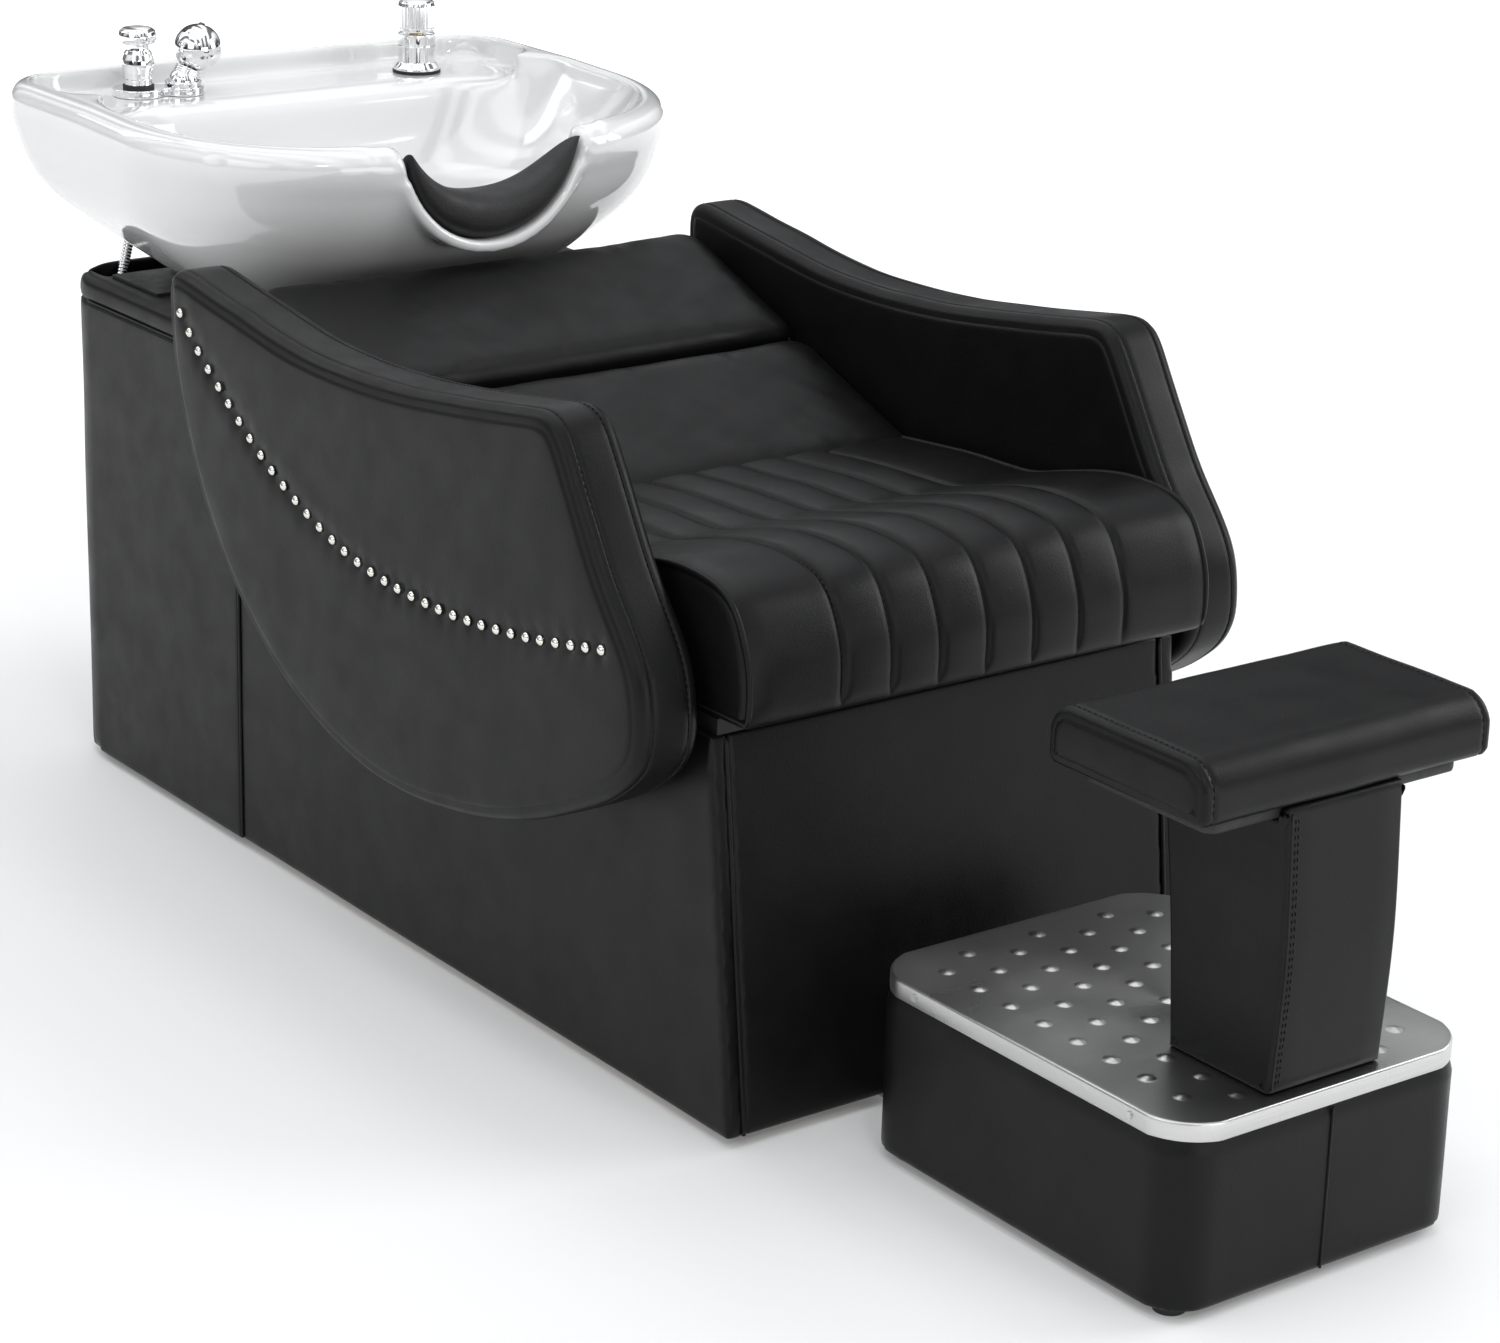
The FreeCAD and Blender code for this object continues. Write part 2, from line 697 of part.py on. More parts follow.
def build_pillar():
    middle = "(step_top + pillar_top) / 2"
    outline = [
        (depth("pillar_back_depth"), "step_top"),
        (depth("pillar_front_depth"), "step_top"),
        (depth("pillar_front_depth - pillar_bow"), middle),
        (depth("pillar_front_depth"), "pillar_top"),
        (depth("pillar_back_depth + pillar_flare"), "pillar_top"),
        (depth("pillar_back_depth + pillar_flare / 3"), middle),
    ]
    keep(prism("pillar", "YZ_Plane", outline, "2 * pillar_half", "-pillar_half"), "footrest_pillar")

    board = rounded_block("pad_board", "pad_half - 24", "pad_front_depth + 14", "pad_back_depth - 22", "pillar_top",
                          "pad_board_thick", "12")
    keep(board, "footrest_pad_board")

    bottom = "pillar_top + pad_board_thick"
    pad = prism("leg_pad", "YZ_Plane", [
        (depth("pad_back_depth"), bottom),
        (depth("pad_front_depth"), bottom),
        (depth("pad_front_depth"), "pad_top"),
        (depth("pad_back_depth"), "pad_top"),
    ], "2 * pad_half", "-pad_half", [
        ("pad_round", lambda edge: runs_along(edge, Vector(1, 0, 0)) and edge.CenterOfMass.z > size("pad_top") - 1),
    ])
    keep(pad, "footrest_pad")


def build_links():
    """Two flat bars under both blocks hold the footrest to the chair."""
    bars = []
    screws = []
    spots = ("rail_start + rail / 2", "step_back_depth - step_wall / 2")
    for side, sign in SIDES:
        blank = span_box("link_%s" % side, side_span("60", "90", sign),
                         (depth("step_back_depth - step_wall"), depth("rail_start + rail")),
                         ("base_bottom - 5", "base_bottom"))
        holes = []
        for number, along in enumerate(spots):
            x = "%d * 75" % sign
            name = "link_%s_%d" % (side, number)
            holes.append(cylinder(name + "_hole", "3.2", "7", (x, depth(along), "base_bottom - 6")))
            shank = cylinder(name + "_shank", "3", "25", (x, depth(along), "base_bottom - 5"))
            head = cylinder(name + "_head", "6", "3", (x, depth(along), "base_bottom - 8"))
            screws.append(fuse(name + "_screw", shank, head))
        bars.append(cut("link_bar_%s" % side, blank, *holes))
    keep(group("link_bars", bars), "footrest_link_bars")
    keep(group("link_screws", screws), "footrest_link_screws")


# ---------------------------------------------------------------- basin

# Hidden corners are faceted, which keeps a wall at least as thick as it is at the glazed side.
# A chamfer this share of a corner's radius stays outside the rounding it stands for.
CHAMFER_SHARE = 0.6


def ring(half, front, rear, nose, corner, z, style="round"):
    """A rectangle wire centred on x = 0 with nose radii in front and corner radii at the rear.

    A "round" corner is an arc, a "facet" is two chords inside that arc and a "chamfer" one line outside it.
    """
    low = depth_value(front)
    high = depth_value(rear)
    ends = []
    for number, (x, y, to_x, to_y) in enumerate([(half, high, -1, -1), (-half, high, 1, -1),
                                                 (-half, low, 1, 1), (half, low, -1, 1)]):
        radius = (nose if y == low else corner) * (CHAMFER_SHARE if style == "chamfer" else 1)
        bend = radius * (1 - math.sqrt(0.5))
        along_y = Vector(x, y + to_y * radius, z)
        along_x = Vector(x + to_x * radius, y, z)
        start, end = (along_y, along_x) if number % 2 == 0 else (along_x, along_y)
        ends.append((start, Vector(x + to_x * bend, y + to_y * bend, z), end))
    edges = []
    for number, (start, middle, end) in enumerate(ends):
        if style == "round":
            edges.append(Part.Arc(start, middle, end).toShape())
        elif style == "facet":
            edges.append(Part.LineSegment(start, middle).toShape())
            edges.append(Part.LineSegment(middle, end).toShape())
        else:
            edges.append(Part.LineSegment(start, end).toShape())
        edges.append(Part.LineSegment(end, ends[(number + 1) % 4][0]).toShape())
    return Part.Wire(edges)


def loft(rings, style="round"):
    return Part.makeLoft([ring(*values, style) for values in rings], True, True)


def skirt_rings(inset=0.0, bottom_extra=0.0):
    """Horizontal sections of the basin's outside, from the rim down to the open foot."""
    half = size("rim_half") - inset
    front = size("rim_front_depth") + inset
    rear = size("rim_rear_depth") - inset
    nose = size("rim_nose") - inset
    corner = size("rim_corner") - inset
    top = size("rim_top")
    drop = top - size("skirt_bottom")
    rings = []
    # share of the drop, then how far the side, front and rear have come in by there
    for share, side, fore, aft in ((0.0, 0, 0, 0), (0.25, 2, 4, 4), (0.6, 26, 38, 34), (1.0, 108, 128, 140)):
        z = top - share * drop - (bottom_extra if share == 1.0 else 0)
        rings.append((half - side, front + fore, rear - aft, nose - 0.9 * side, corner + 0.2 * side, z))
    return rings


def tap_spot(name):
    """The x and y of a tap hole's axis."""
    along = size("tap_depth" if name == "mixer" else name + "_depth")
    return size(name + "_x"), depth_value(along)


def build_basin():
    ceramic = size("ceramic")
    top = size("rim_top")
    outside = loft(skirt_rings())
    hollow_rings = skirt_rings(ceramic, 1.0)
    hollow = loft([hollow_rings[1][:5] + (size("deck_level") - ceramic,)] + hollow_rings[2:], "facet")

    front = size("rim_front_depth")
    rim = 30.0
    bowl_back = size("tap_depth") - 62
    bowl_rings = [
        (size("rim_half") - rim, front + 34, bowl_back + 6, 180, 100, top + 1),
        (size("rim_half") - rim - 10, front + 42, bowl_back, 175, 100, top - 24),
        (size("rim_half") - 88, front + 92, bowl_back - 26, 150, 95, top - 94),
        (62, size("drain_depth") - 62, size("drain_depth") + 62, 60, 60, size("bowl_floor")),
    ]
    bowl = loft(bowl_rings)
    bowl_shell_rings = [
        (half + ceramic, low - ceramic, high + ceramic, nose + ceramic, corner + ceramic, z)
        for half, low, high, nose, corner, z in bowl_rings
    ]
    bowl_shell_rings[-1] = bowl_shell_rings[-1][:5] + (size("bowl_floor") - ceramic,)
    bowl_shell = loft(bowl_shell_rings, "chamfer")
    deck_pocket = loft([
        (size("rim_half") - rim + 2, bowl_back - 30, size("rim_rear_depth") - 22, 60, 60, size("deck_level")),
        (size("rim_half") - rim + 6, bowl_back - 30, size("rim_rear_depth") - 16, 60, 60, top + 1),
    ])
    notch_start = depth_value(front - 10)
    way = Vector(0, 1, 0)
    notch = Part.makeCylinder(size("notch_radius"), 90, Vector(0, notch_start, size("notch_level")), way)
    notch_top = Part.makeBox(2 * size("notch_radius"), 90, 60,
                             Vector(-size("notch_radius"), notch_start, size("notch_level")))
    lip = Part.makeCylinder(size("notch_radius") + ceramic, 52, Vector(0, depth_value(front + 6), size("notch_level")),
                            way)
    lip_limit = Part.makeBox(700, 200, 300, Vector(-350, notch_start, size("notch_level") - 300))
    open_back = Part.makeBox(400, 300, size("deck_level") - ceramic - 540, Vector(-200, depth_value(1130), 540))

    body = outside.cut(hollow.cut(bowl_shell))
    body = body.cut(open_back.cut(bowl_shell))
    body = body.fuse(lip.common(lip_limit).cut(bowl_shell))
    body = body.cut(bowl).cut(deck_pocket)
    body = body.cut(notch).cut(notch_top)
    drain = Part.makeCylinder(24, 60, Vector(0, depth_value(size("drain_depth")), size("bowl_floor") - 40))
    body = body.cut(drain)
    for name, radius in (("mixer", 17.0), ("breaker", 11.0), ("sprayer", 11.0)):
        x, y = tap_spot(name)
        body = body.cut(Part.makeCylinder(radius, 60, Vector(x, y, 690)))
    keep(made("basin", body.removeSplitter()), "basin")


NECK_TIP_RISE = 6


def build_neck_rest():
    """A rubber crescent that lies in the notch of the basin's front wall."""
    front = depth_value(size("rim_front_depth") + 4)
    way = Vector(0, 1, 0)
    outer = Part.makeCylinder(size("notch_radius"), 60, Vector(0, front, size("notch_level")), way)
    inner = Part.makeCylinder(size("neck_inner_radius"), 62, Vector(0, front - 1, size("neck_inner_level")), way)
    tips = Part.makeBox(300, 80, 60, Vector(-150, front - 10, size("notch_level") + NECK_TIP_RISE))
    keep(made("neck_rest", outer.cut(inner).cut(tips)), "neck_rest")


def build_tilt_hinge():
    """A bracket on the cabinet, one long pin and a cradle under the bowl."""
    pivot = depth("pivot_depth")
    plate = span_box("bracket_plate", ("-245", "245"), (depth("pivot_depth - 78"), depth("pivot_depth + 22")),
                     ("cabinet_top", "cabinet_top + 3"))
    cheeks = [
        span_box("bracket_cheek_" + side, side_span("168", "172", sign), (pivot + " - 20", pivot + " + 20"),
                 ("cabinet_top + 3", "pivot_level + 16"))
        for side, sign in SIDES
    ]
    bore = cylinder("bracket_bore", "pivot_radius", "400", ("-200", pivot, "pivot_level"), "x")
    keep(cut("tilt_bracket_cut", fuse("tilt_bracket_blank", plate, *cheeks), bore), "tilt_bracket")

    shaft = cylinder("pin_shaft", "pivot_radius", "352", ("-176", pivot, "pivot_level"), "x")
    heads = [cylinder("pin_head_" + side, "pivot_radius + 3", "4", (start, pivot, "pivot_level"), "x")
             for side, start in (("left", "-176"), ("right", "172"))]
    keep(fuse("tilt_pin_fused", shaft, *heads), "tilt_pin")

    saddle_top = "bowl_floor - ceramic"
    saddle = span_box("saddle", ("-165", "165"), (depth("drain_depth - 60"), depth("pivot_depth + 20")),
                      (saddle_top + " - 4", saddle_top))
    ears = [
        span_box("cradle_ear_" + side, side_span("161", "165", sign), (pivot + " - 20", pivot + " + 20"),
                 ("pivot_level - 12", saddle_top + " - 4"))
        for side, sign in SIDES
    ]
    running = cylinder("cradle_bore", "pivot_radius + running_gap", "400", ("-200", pivot, "pivot_level"), "x")
    drain = cylinder("cradle_drain_hole", "26", "6", ("0", depth("drain_depth"), saddle_top + " - 5"))
    keep(cut("tilt_cradle_cut", fuse("tilt_cradle_blank", saddle, *ears), running, drain), "tilt_cradle")

    buffers = [cylinder("buffer_" + side, "10", "bowl_floor - ceramic - 4.3 - cabinet_top",
                        ("%d * 120" % sign, depth("drain_depth - 40"), "cabinet_top")) for side, sign in SIDES]
    keep(group("buffer_pair", buffers), "tilt_buffers")


def turned(name, profile, x, y):
    """A solid turned about a vertical axis from (radius, z) corners, listed from the bottom axis point."""
    points = [Vector(radius, 0, z) for radius, z in profile]
    wire = Part.makePolygon(points + points[:1])
    solid = Part.Face(wire).revolve(Vector(), Vector(0, 0, 1), 360)
    solid.translate(Vector(x, y, 0))
    return solid


def build_drain():
    floor = size("bowl_floor")
    y = depth_value(size("drain_depth"))
    flange = turned("flange", [(20, 575), (23.9, 575), (23.9, floor), (32, floor), (31, floor + 2.5),
                               (22.4, floor + 2.5), (22.4, floor + 1), (20, floor + 1)], 0, y)
    keep(made("drain_flange", flange), "drain_flange")
    tail = turned("tail", [(16.5, 430), (19, 430), (19, 555), (19.9, 556), (19.9, 588), (16.5, 588)], 0, y)
    keep(made("drain_tailpiece", tail), "drain_tailpiece")
    strainer = turned("strainer", [(0, floor + 1), (22, floor + 1), (22, floor + 3), (4, floor + 3.5),
                                   (3, floor + 9), (0, floor + 9)], 0, y)
    for number in range(8):
        angle = math.radians(45 * number)
        spot = Vector(13 * math.cos(angle), y + 13 * math.sin(angle), floor - 1)
        strainer = strainer.cut(Part.makeCylinder(2.5, 8, spot))
    keep(made("drain_strainer", strainer), "drain_strainer")


def build_mixer():
    deck = size("deck_level")
    x, y = tap_spot("mixer")
    gap = size("running_gap")
    body = turned("mixer", [(0, deck - 50), (16.8, deck - 50), (16.8, deck + 3), (26.5, deck + 3), (26.5, deck + 6),
                            (24, deck + 9), (20.5, deck + 11), (20.5, deck + 44), (8, deck + 44), (8, deck + 28),
                            (0, deck + 28)], x, y)
    keep(made("mixer_body", body), "mixer_body")
    stem = Part.makeCylinder(8 - gap, 35, Vector(x, y, deck + 28))
    keep(made("mixer_stem", stem), "mixer_stem")
    knob = turned("knob", [(8, deck + 46), (20, deck + 46), (21, deck + 48), (21, deck + 78), (18.5, deck + 81),
                           (0, deck + 82), (0, deck + 74), (8, deck + 74)], x, y)
    keep(made("mixer_knob", knob), "mixer_knob")


def build_breaker():
    deck = size("deck_level")
    spots = [Vector(*tap_spot(name), deck) for name in ("breaker", "sprayer")]
    run = spots[1] - spots[0]
    bridge = Part.makeBox(run.Length, 26, 9, Vector(0, -13, 0))
    bridge.Placement = FreeCAD.Placement(spots[0], FreeCAD.Rotation(Vector(1, 0, 0), run))
    plate = bridge.multiFuse([Part.makeCylinder(radius, 9, spot) for radius, spot in zip((28, 23), spots)])
    for spot in spots:
        plate = plate.cut(Part.makeCylinder(11, 11, spot - Vector(0, 0, 1)))
    keep(made("deck_plate", plate.removeSplitter()), "deck_plate")

    top = deck + 9
    body = turned("breaker", [(0, deck - 32), (10.9, deck - 32), (10.9, top + 3), (15, top + 3), (15.5, top + 10),
                              (18.5, top + 26), (15, top + 38), (12.5, top + 43), (12.5, top + 50), (9, top + 50),
                              (9, top + 34), (0, top + 34)], *spots[0][:2])
    keep(made("vacuum_breaker_body", body), "vacuum_breaker_body")
    cap = turned("cap", [(12.6, top + 48), (18, top + 48), (20.5, top + 51), (20.5, top + 62), (18, top + 65),
                         (0, top + 66), (0, top + 60), (10, top + 60), (10, top + 50), (12.6, top + 50)], *spots[0][:2])
    keep(made("vacuum_breaker_cap", cap), "vacuum_breaker_cap")
    disc = Part.makeCylinder(8.5, 5, Vector(*spots[0][:2], top + 34.1))
    keep(made("vacuum_breaker_float", disc), "vacuum_breaker_float")


def washer(name, x, y, bottom, bore, radius, thick):
    return turned(name, [(bore, bottom), (radius, bottom), (radius, bottom + thick), (bore, bottom + thick)], x, y)


def build_gaskets_and_nuts():
    """Soft rings under the tap bodies, and the nuts that clamp each shank from below."""
    deck = size("deck_level")
    gaskets = [washer("mixer_gasket", *tap_spot("mixer"), deck, 17, 27, 3),
               washer("breaker_gasket", *tap_spot("breaker"), deck + 9, 11, 17, 3)]
    keep(made("tap_gaskets", Part.makeCompound(gaskets)), "tap_gaskets")

    under = deck - size("ceramic")
    nuts = [washer("nut", *tap_spot(name), under - 10, bore, bore + 9, 10)
            for name, bore in (("breaker", 11), ("sprayer", 11), ("mixer", 17))]
    nuts.append(washer("drain_nut", 0, depth_value(size("drain_depth")), 577, 24, 33, 11.5))
    keep(made("lock_nuts", Part.makeCompound(nuts)), "lock_nuts")


def sprayer_axis():
    """The socket's foot on the deck plate and the direction the sprayer lifts in."""
    lean = math.radians(size("sprayer_lean"))
    foot_point = Vector(*tap_spot("sprayer"), size("deck_level") + 13)
    return foot_point, Vector(math.sin(lean), 0, math.cos(lean))


def build_sprayer():
    foot_point, way = sprayer_axis()
    gap = size("running_gap")
    deck = size("deck_level")
    x, y = tap_spot("sprayer")
    base = Part.makeCylinder(20, 4, Vector(x, y, deck + 9))
    collar = Part.makeCylinder(14, 15, foot_point, way)
    knee = Part.makeSphere(16, foot_point)
    shank = Part.makeCylinder(10.9, 41, Vector(x, y, deck - 32))
    below = Part.makeBox(60, 60, 40, Vector(x - 30, y - 30, deck - 31))
    holder = base.fuse(collar).fuse(knee).cut(below).fuse(shank)
    holder = holder.cut(Part.makeCylinder(9 + gap, 40, foot_point, way))
    holder = holder.cut(Part.makeCylinder(size("hose_radius"), 30, Vector(x, y, deck - 33)))
    keep(made("sprayer_holder", holder.removeSplitter()), "sprayer_holder")

    middle = foot_point + way * 40
    ball = Part.makeSphere(size("ball_radius"), middle)
    ball = ball.fuse(Part.makeCylinder(9, 22, foot_point + way, way))
    slot_corners = [(-18, 9), (-18, 32), (18, 42), (18, 16.5), (-11, 8)]
    slot_points = [middle + Vector(across, -4.8, up) for across, up in slot_corners]
    slot = Part.Face(Part.makePolygon(slot_points + slot_points[:1])).extrude(Vector(0, 9.6, 0))
    hinge = middle + Vector(-12, 0, 14)
    ball = ball.cut(slot).cut(Part.makeCylinder(1.5 + gap, 11.4, hinge - Vector(0, 5.7, 0), Vector(0, 1, 0)))
    keep(made("sprayer_head", ball), "sprayer_head")

    run = Vector(20, 0, 11)
    run.normalize()
    rise = Vector(-run.z, 0, run.x)
    corners = [hinge - run * 2.2 - rise * 2.2, hinge + run * 22 - rise * 2, hinge + run * 22 + rise * 2.6,
               hinge - run * 2.2 + rise * 2.2]
    corners = [corner - Vector(0, 4.5, 0) for corner in corners]
    lever = Part.Face(Part.makePolygon(corners + corners[:1])).extrude(Vector(0, 9, 0))
    lever = lever.fuse(Part.makeCylinder(1.5, 11, hinge - Vector(0, 5.5, 0), Vector(0, 1, 0)))
    keep(made("sprayer_lever", lever.removeSplitter()), "sprayer_lever")


HOSE_SOCKET_LEVEL = 690
HOSE_LOOP_DEPTHS = (1188, 1180, 1176)


def hose_route():
    """Corners of a loop that hangs from the sprayer's socket and climbs back to the vacuum breaker."""
    loop_x, loop_z, reach = -162, 370, 70
    near, low, bottom = HOSE_LOOP_DEPTHS
    notch = reach * math.tan(math.pi / 8)
    strands = []
    for name, side in (("sprayer", 1), ("breaker", -1)):
        socket = size(name + "_x")
        outer = loop_x + side * reach
        blend = (socket + outer) / 2
        strands.append([
            (socket, size(name + "_depth"), HOSE_SOCKET_LEVEL),
            (socket, size(name + "_depth"), HOSE_SOCKET_LEVEL - 50),
            (blend, 1224, loop_z + 200),
            (outer, 1208, loop_z + 110),
            (outer, near, loop_z + 30),
            (outer, low, loop_z - notch),
            (loop_x + side * notch, bottom, loop_z - reach),
        ])
    down, up = strands
    return [Vector(x, depth_value(along), z) for x, along, z in down + up[::-1]]


def build_hose():
    """A round hose along straight runs joined by tangent arcs as large as the runs allow."""
    points = hose_route()
    edges = []
    start = points[0]
    for before, corner, after in zip(points, points[1:], points[2:]):
        back = before - corner
        ahead = after - corner
        reach = 0.45 * min(back.Length, ahead.Length)
        turn = math.pi - back.getAngle(ahead)
        radius = reach / math.tan(turn / 2)
        back.normalize()
        ahead.normalize()
        enter = corner + back * reach
        leave = corner + ahead * reach
        inward = back + ahead
        inward.normalize()
        middle = corner + inward * (radius / math.cos(turn / 2) - radius)
        edges.append(Part.LineSegment(start, enter).toShape())
        edges.append(Part.Arc(enter, middle, leave).toShape())
        start = leave
        print("hose bend radius %.0f mm" % radius)
    edges.append(Part.LineSegment(start, points[-1]).toShape())
    path = Part.Wire(edges)
    radius = size("hose_radius")
    section = Part.Wire(Part.makeCircle(radius, points[0], points[1] - points[0]))
    hose = path.makePipeShell([section], True, False)
    print("hose length %.0f mm, volume ratio %.4f"
          % (path.Length, hose.Volume / (math.pi * radius ** 2 * path.Length)))
    keep(made("spray_hose", hose), "spray_hose")


def main():
    build_base()
    build_frame()
    build_feet()
    build_seat()
    build_back()
    build_arms()
    build_arm_bolts()
    build_nails()
    build_cabinet()
    build_service_panel()
    build_step()
    build_plate()
    build_pillar()
    build_links()
    build_basin()
    build_neck_rest()
    build_tilt_hinge()
    build_drain()
    build_mixer()
    build_breaker()
    build_gaskets_and_nuts()
    build_sprayer()
    build_hose()


main()
doc.recompute()

for item in doc.Objects:
    if "Invalid" in item.State or "Error" in item.State:
        raise RuntimeError("%s did not compute: %s" % (item.Name, item.State))
os.makedirs("parts", exist_ok=True)
for label, item in PARTS.items():
    if item.Shape.isNull() or not item.Shape.isValid():
        raise RuntimeError("%s has a bad shape" % label)
    item.Shape.exportStep("parts/%s.step" % label)
    print("%-26s %10.1f cm3  solids %d" % (label, item.Shape.Volume / 1000, len(item.Shape.Solids)))
print(len(PARTS), "sub-parts")
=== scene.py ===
import json
import math

import bmesh
import bpy
import numpy as np
from mathutils import Euler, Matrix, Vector
from mathutils.geometry import delaunay_2d_cdt


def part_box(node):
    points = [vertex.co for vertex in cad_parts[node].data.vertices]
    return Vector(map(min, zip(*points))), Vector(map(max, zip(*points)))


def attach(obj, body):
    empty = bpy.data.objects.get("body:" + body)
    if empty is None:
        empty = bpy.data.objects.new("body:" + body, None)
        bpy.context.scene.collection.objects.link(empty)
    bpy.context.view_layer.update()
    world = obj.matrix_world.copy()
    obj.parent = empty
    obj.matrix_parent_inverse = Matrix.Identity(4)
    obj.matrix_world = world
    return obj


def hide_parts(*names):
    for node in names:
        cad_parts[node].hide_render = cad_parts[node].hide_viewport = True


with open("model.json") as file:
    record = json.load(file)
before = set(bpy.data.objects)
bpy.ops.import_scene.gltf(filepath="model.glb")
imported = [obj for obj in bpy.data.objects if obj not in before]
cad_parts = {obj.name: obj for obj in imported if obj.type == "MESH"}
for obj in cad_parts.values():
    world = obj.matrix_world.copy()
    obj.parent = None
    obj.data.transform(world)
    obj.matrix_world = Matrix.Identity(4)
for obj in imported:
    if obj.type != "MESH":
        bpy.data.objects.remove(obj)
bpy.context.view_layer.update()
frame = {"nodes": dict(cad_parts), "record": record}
scene = bpy.context.scene


# ------------------------------------------------------------------ materials

def node(tree, kind, **settings):
    item = tree.nodes.new("ShaderNode" + kind)
    for name, value in settings.items():
        if name in item.inputs:
            item.inputs[name].default_value = value
        else:
            setattr(item, name, value)
    return item


def shader(name, colour, roughness, metallic=0.0, **sockets):
    """A Principled material with object coordinates to hand, in metres."""
    material = bpy.data.materials.new(name)
    material.use_nodes = True
    tree = material.node_tree
    principled = tree.nodes["Principled BSDF"]
    principled.inputs["Base Color"].default_value = (*colour, 1)
    principled.inputs["Roughness"].default_value = roughness
    principled.inputs["Metallic"].default_value = metallic
    for socket, value in sockets.items():
        principled.inputs[socket.replace("_", " ")].default_value = value
    place = node(tree, "TexCoord")
    return material, tree, principled, place


def scaled(tree, place, stretch):
    mapping = node(tree, "Mapping")
    mapping.inputs["Scale"].default_value = stretch
    tree.links.new(place.outputs["Object"], mapping.inputs["Vector"])
    return mapping.outputs["Vector"]


def noise(tree, vector, scale, detail=3.0, rough=0.5):
    item = node(tree, "TexNoise", Scale=scale, Detail=detail, Roughness=rough)
    tree.links.new(vector, item.inputs["Vector"])
    return item.outputs["Fac"]


def ranged(tree, factor, *limits):
    """A factor mapped from its first two limits to the last two."""
    item = node(tree, "MapRange")
    for name, value in zip(("From Min", "From Max", "To Min", "To Max"), limits):
        item.inputs[name].default_value = value
    tree.links.new(factor, item.inputs["Value"])
    return item.outputs["Result"]


def vary(tree, principled, socket, factor, low, high):
    """Runs a factor of 0.35-0.65, the usual spread of noise, over low to high."""
    tree.links.new(ranged(tree, factor, 0.35, 0.65, low, high), principled.inputs[socket])


def shades(colour, dark, light):
    return [tuple(min(1, share * channel) for channel in colour) for share in (dark, light)]


def tint(tree, principled, factor, dark, light):
    mix = node(tree, "Mix", data_type="RGBA")
    mix.inputs["A"].default_value = (*dark, 1)
    mix.inputs["B"].default_value = (*light, 1)
    tree.links.new(factor, mix.inputs["Factor"])
    tree.links.new(mix.outputs["Result"], principled.inputs["Base Color"])


def bumps(tree, principled, layers):
    """Stacks bump nodes: (height factor, depth in metres)."""
    previous = None
    for height, depth in layers:
        item = node(tree, "Bump", Distance=depth, Strength=1.0)
        tree.links.new(height, item.inputs["Height"])
        if previous:
            tree.links.new(previous.outputs["Normal"], item.inputs["Normal"])
        previous = item
    tree.links.new(previous.outputs["Normal"], principled.inputs["Normal"])


def leather():
    material, tree, principled, place = shader("black_vinyl", (0.005, 0.005, 0.0055), 0.38,
                                               Specular_IOR_Level=0.17)
    flat = place.outputs["Object"]
    cells = node(tree, "TexVoronoi", Scale=900.0, feature="SMOOTH_F1", Smoothness=0.35)
    tree.links.new(flat, cells.inputs["Vector"])
    soft = noise(tree, flat, 26.0, 4.0)
    fine = noise(tree, flat, 420.0, 2.0)
    vary(tree, principled, "Roughness", soft, 0.33, 0.42)
    tint(tree, principled, fine, (0.003, 0.003, 0.0034), (0.0065, 0.0065, 0.007))
    bumps(tree, principled, [(noise(tree, flat, 12.0, 2.0), 0.0004), (cells.outputs["Distance"], 0.00012)])
    return material


def glaze():
    material, tree, principled, place = shader("white_glaze", (0.73, 0.73, 0.73), 0.09, Coat_Weight=1.0,
                                               Coat_Roughness=0.03, Specular_IOR_Level=0.5)
    flat = place.outputs["Object"]
    cloud = noise(tree, flat, 7.0, 3.0)
    tint(tree, principled, cloud, (0.72, 0.725, 0.73), (0.745, 0.745, 0.74))
    vary(tree, principled, "Roughness", noise(tree, flat, 30.0), 0.07, 0.12)
    bumps(tree, principled, [(noise(tree, flat, 14.0, 2.0), 0.0005)])
    return material


def surfaced(name, colour, metallic, rough, cloud, relief):
    """A material whose roughness, colour and surface each follow a noise of their own.

    rough is (constant, scale, detail, low, high), cloud (scale, dark, light), relief (scale, detail, depth).
    """
    constant, *grain, low, high = rough
    material, tree, principled, place = shader(name, colour, constant, metallic)
    flat = place.outputs["Object"]
    vary(tree, principled, "Roughness", noise(tree, flat, *grain), low, high)
    tint(tree, principled, noise(tree, flat, cloud[0]), *cloud[1:])
    bumps(tree, principled, [(noise(tree, flat, *relief[:2]), relief[2])])
    return material


def chrome():
    return surfaced("chrome_plate", (0.86, 0.865, 0.87), 1.0, (0.06, 60.0, 4.0, 0.045, 0.10),
                    (25.0, (0.83, 0.835, 0.85), (0.88, 0.88, 0.875)), (90.0, 2.0, 0.00004))


def nickel():
    return surfaced("nickel_dome", (0.80, 0.78, 0.73), 1.0, (0.14, 300.0, 3.0, 0.10, 0.2),
                    (80.0, (0.74, 0.72, 0.66), (0.84, 0.82, 0.78)), (500.0, 3.0, 0.00003))


def plastic(name, colour, roughness):
    return surfaced(name, colour, 0.0, (roughness, 90.0, 3.0, roughness - 0.04, roughness + 0.06),
                    (30.0, *shades(colour, 0.88, 1.08)), (1400.0, 2.0, 0.00002))


def metal(name, colour, roughness, speckle=220.0, metallic=1.0):
    return surfaced(name, colour, metallic, (roughness, 50.0, 4.0, roughness - 0.06, roughness + 0.1),
                    (speckle, *shades(colour, 0.82, 1.12)), (speckle * 2, 3.0, 0.00004))


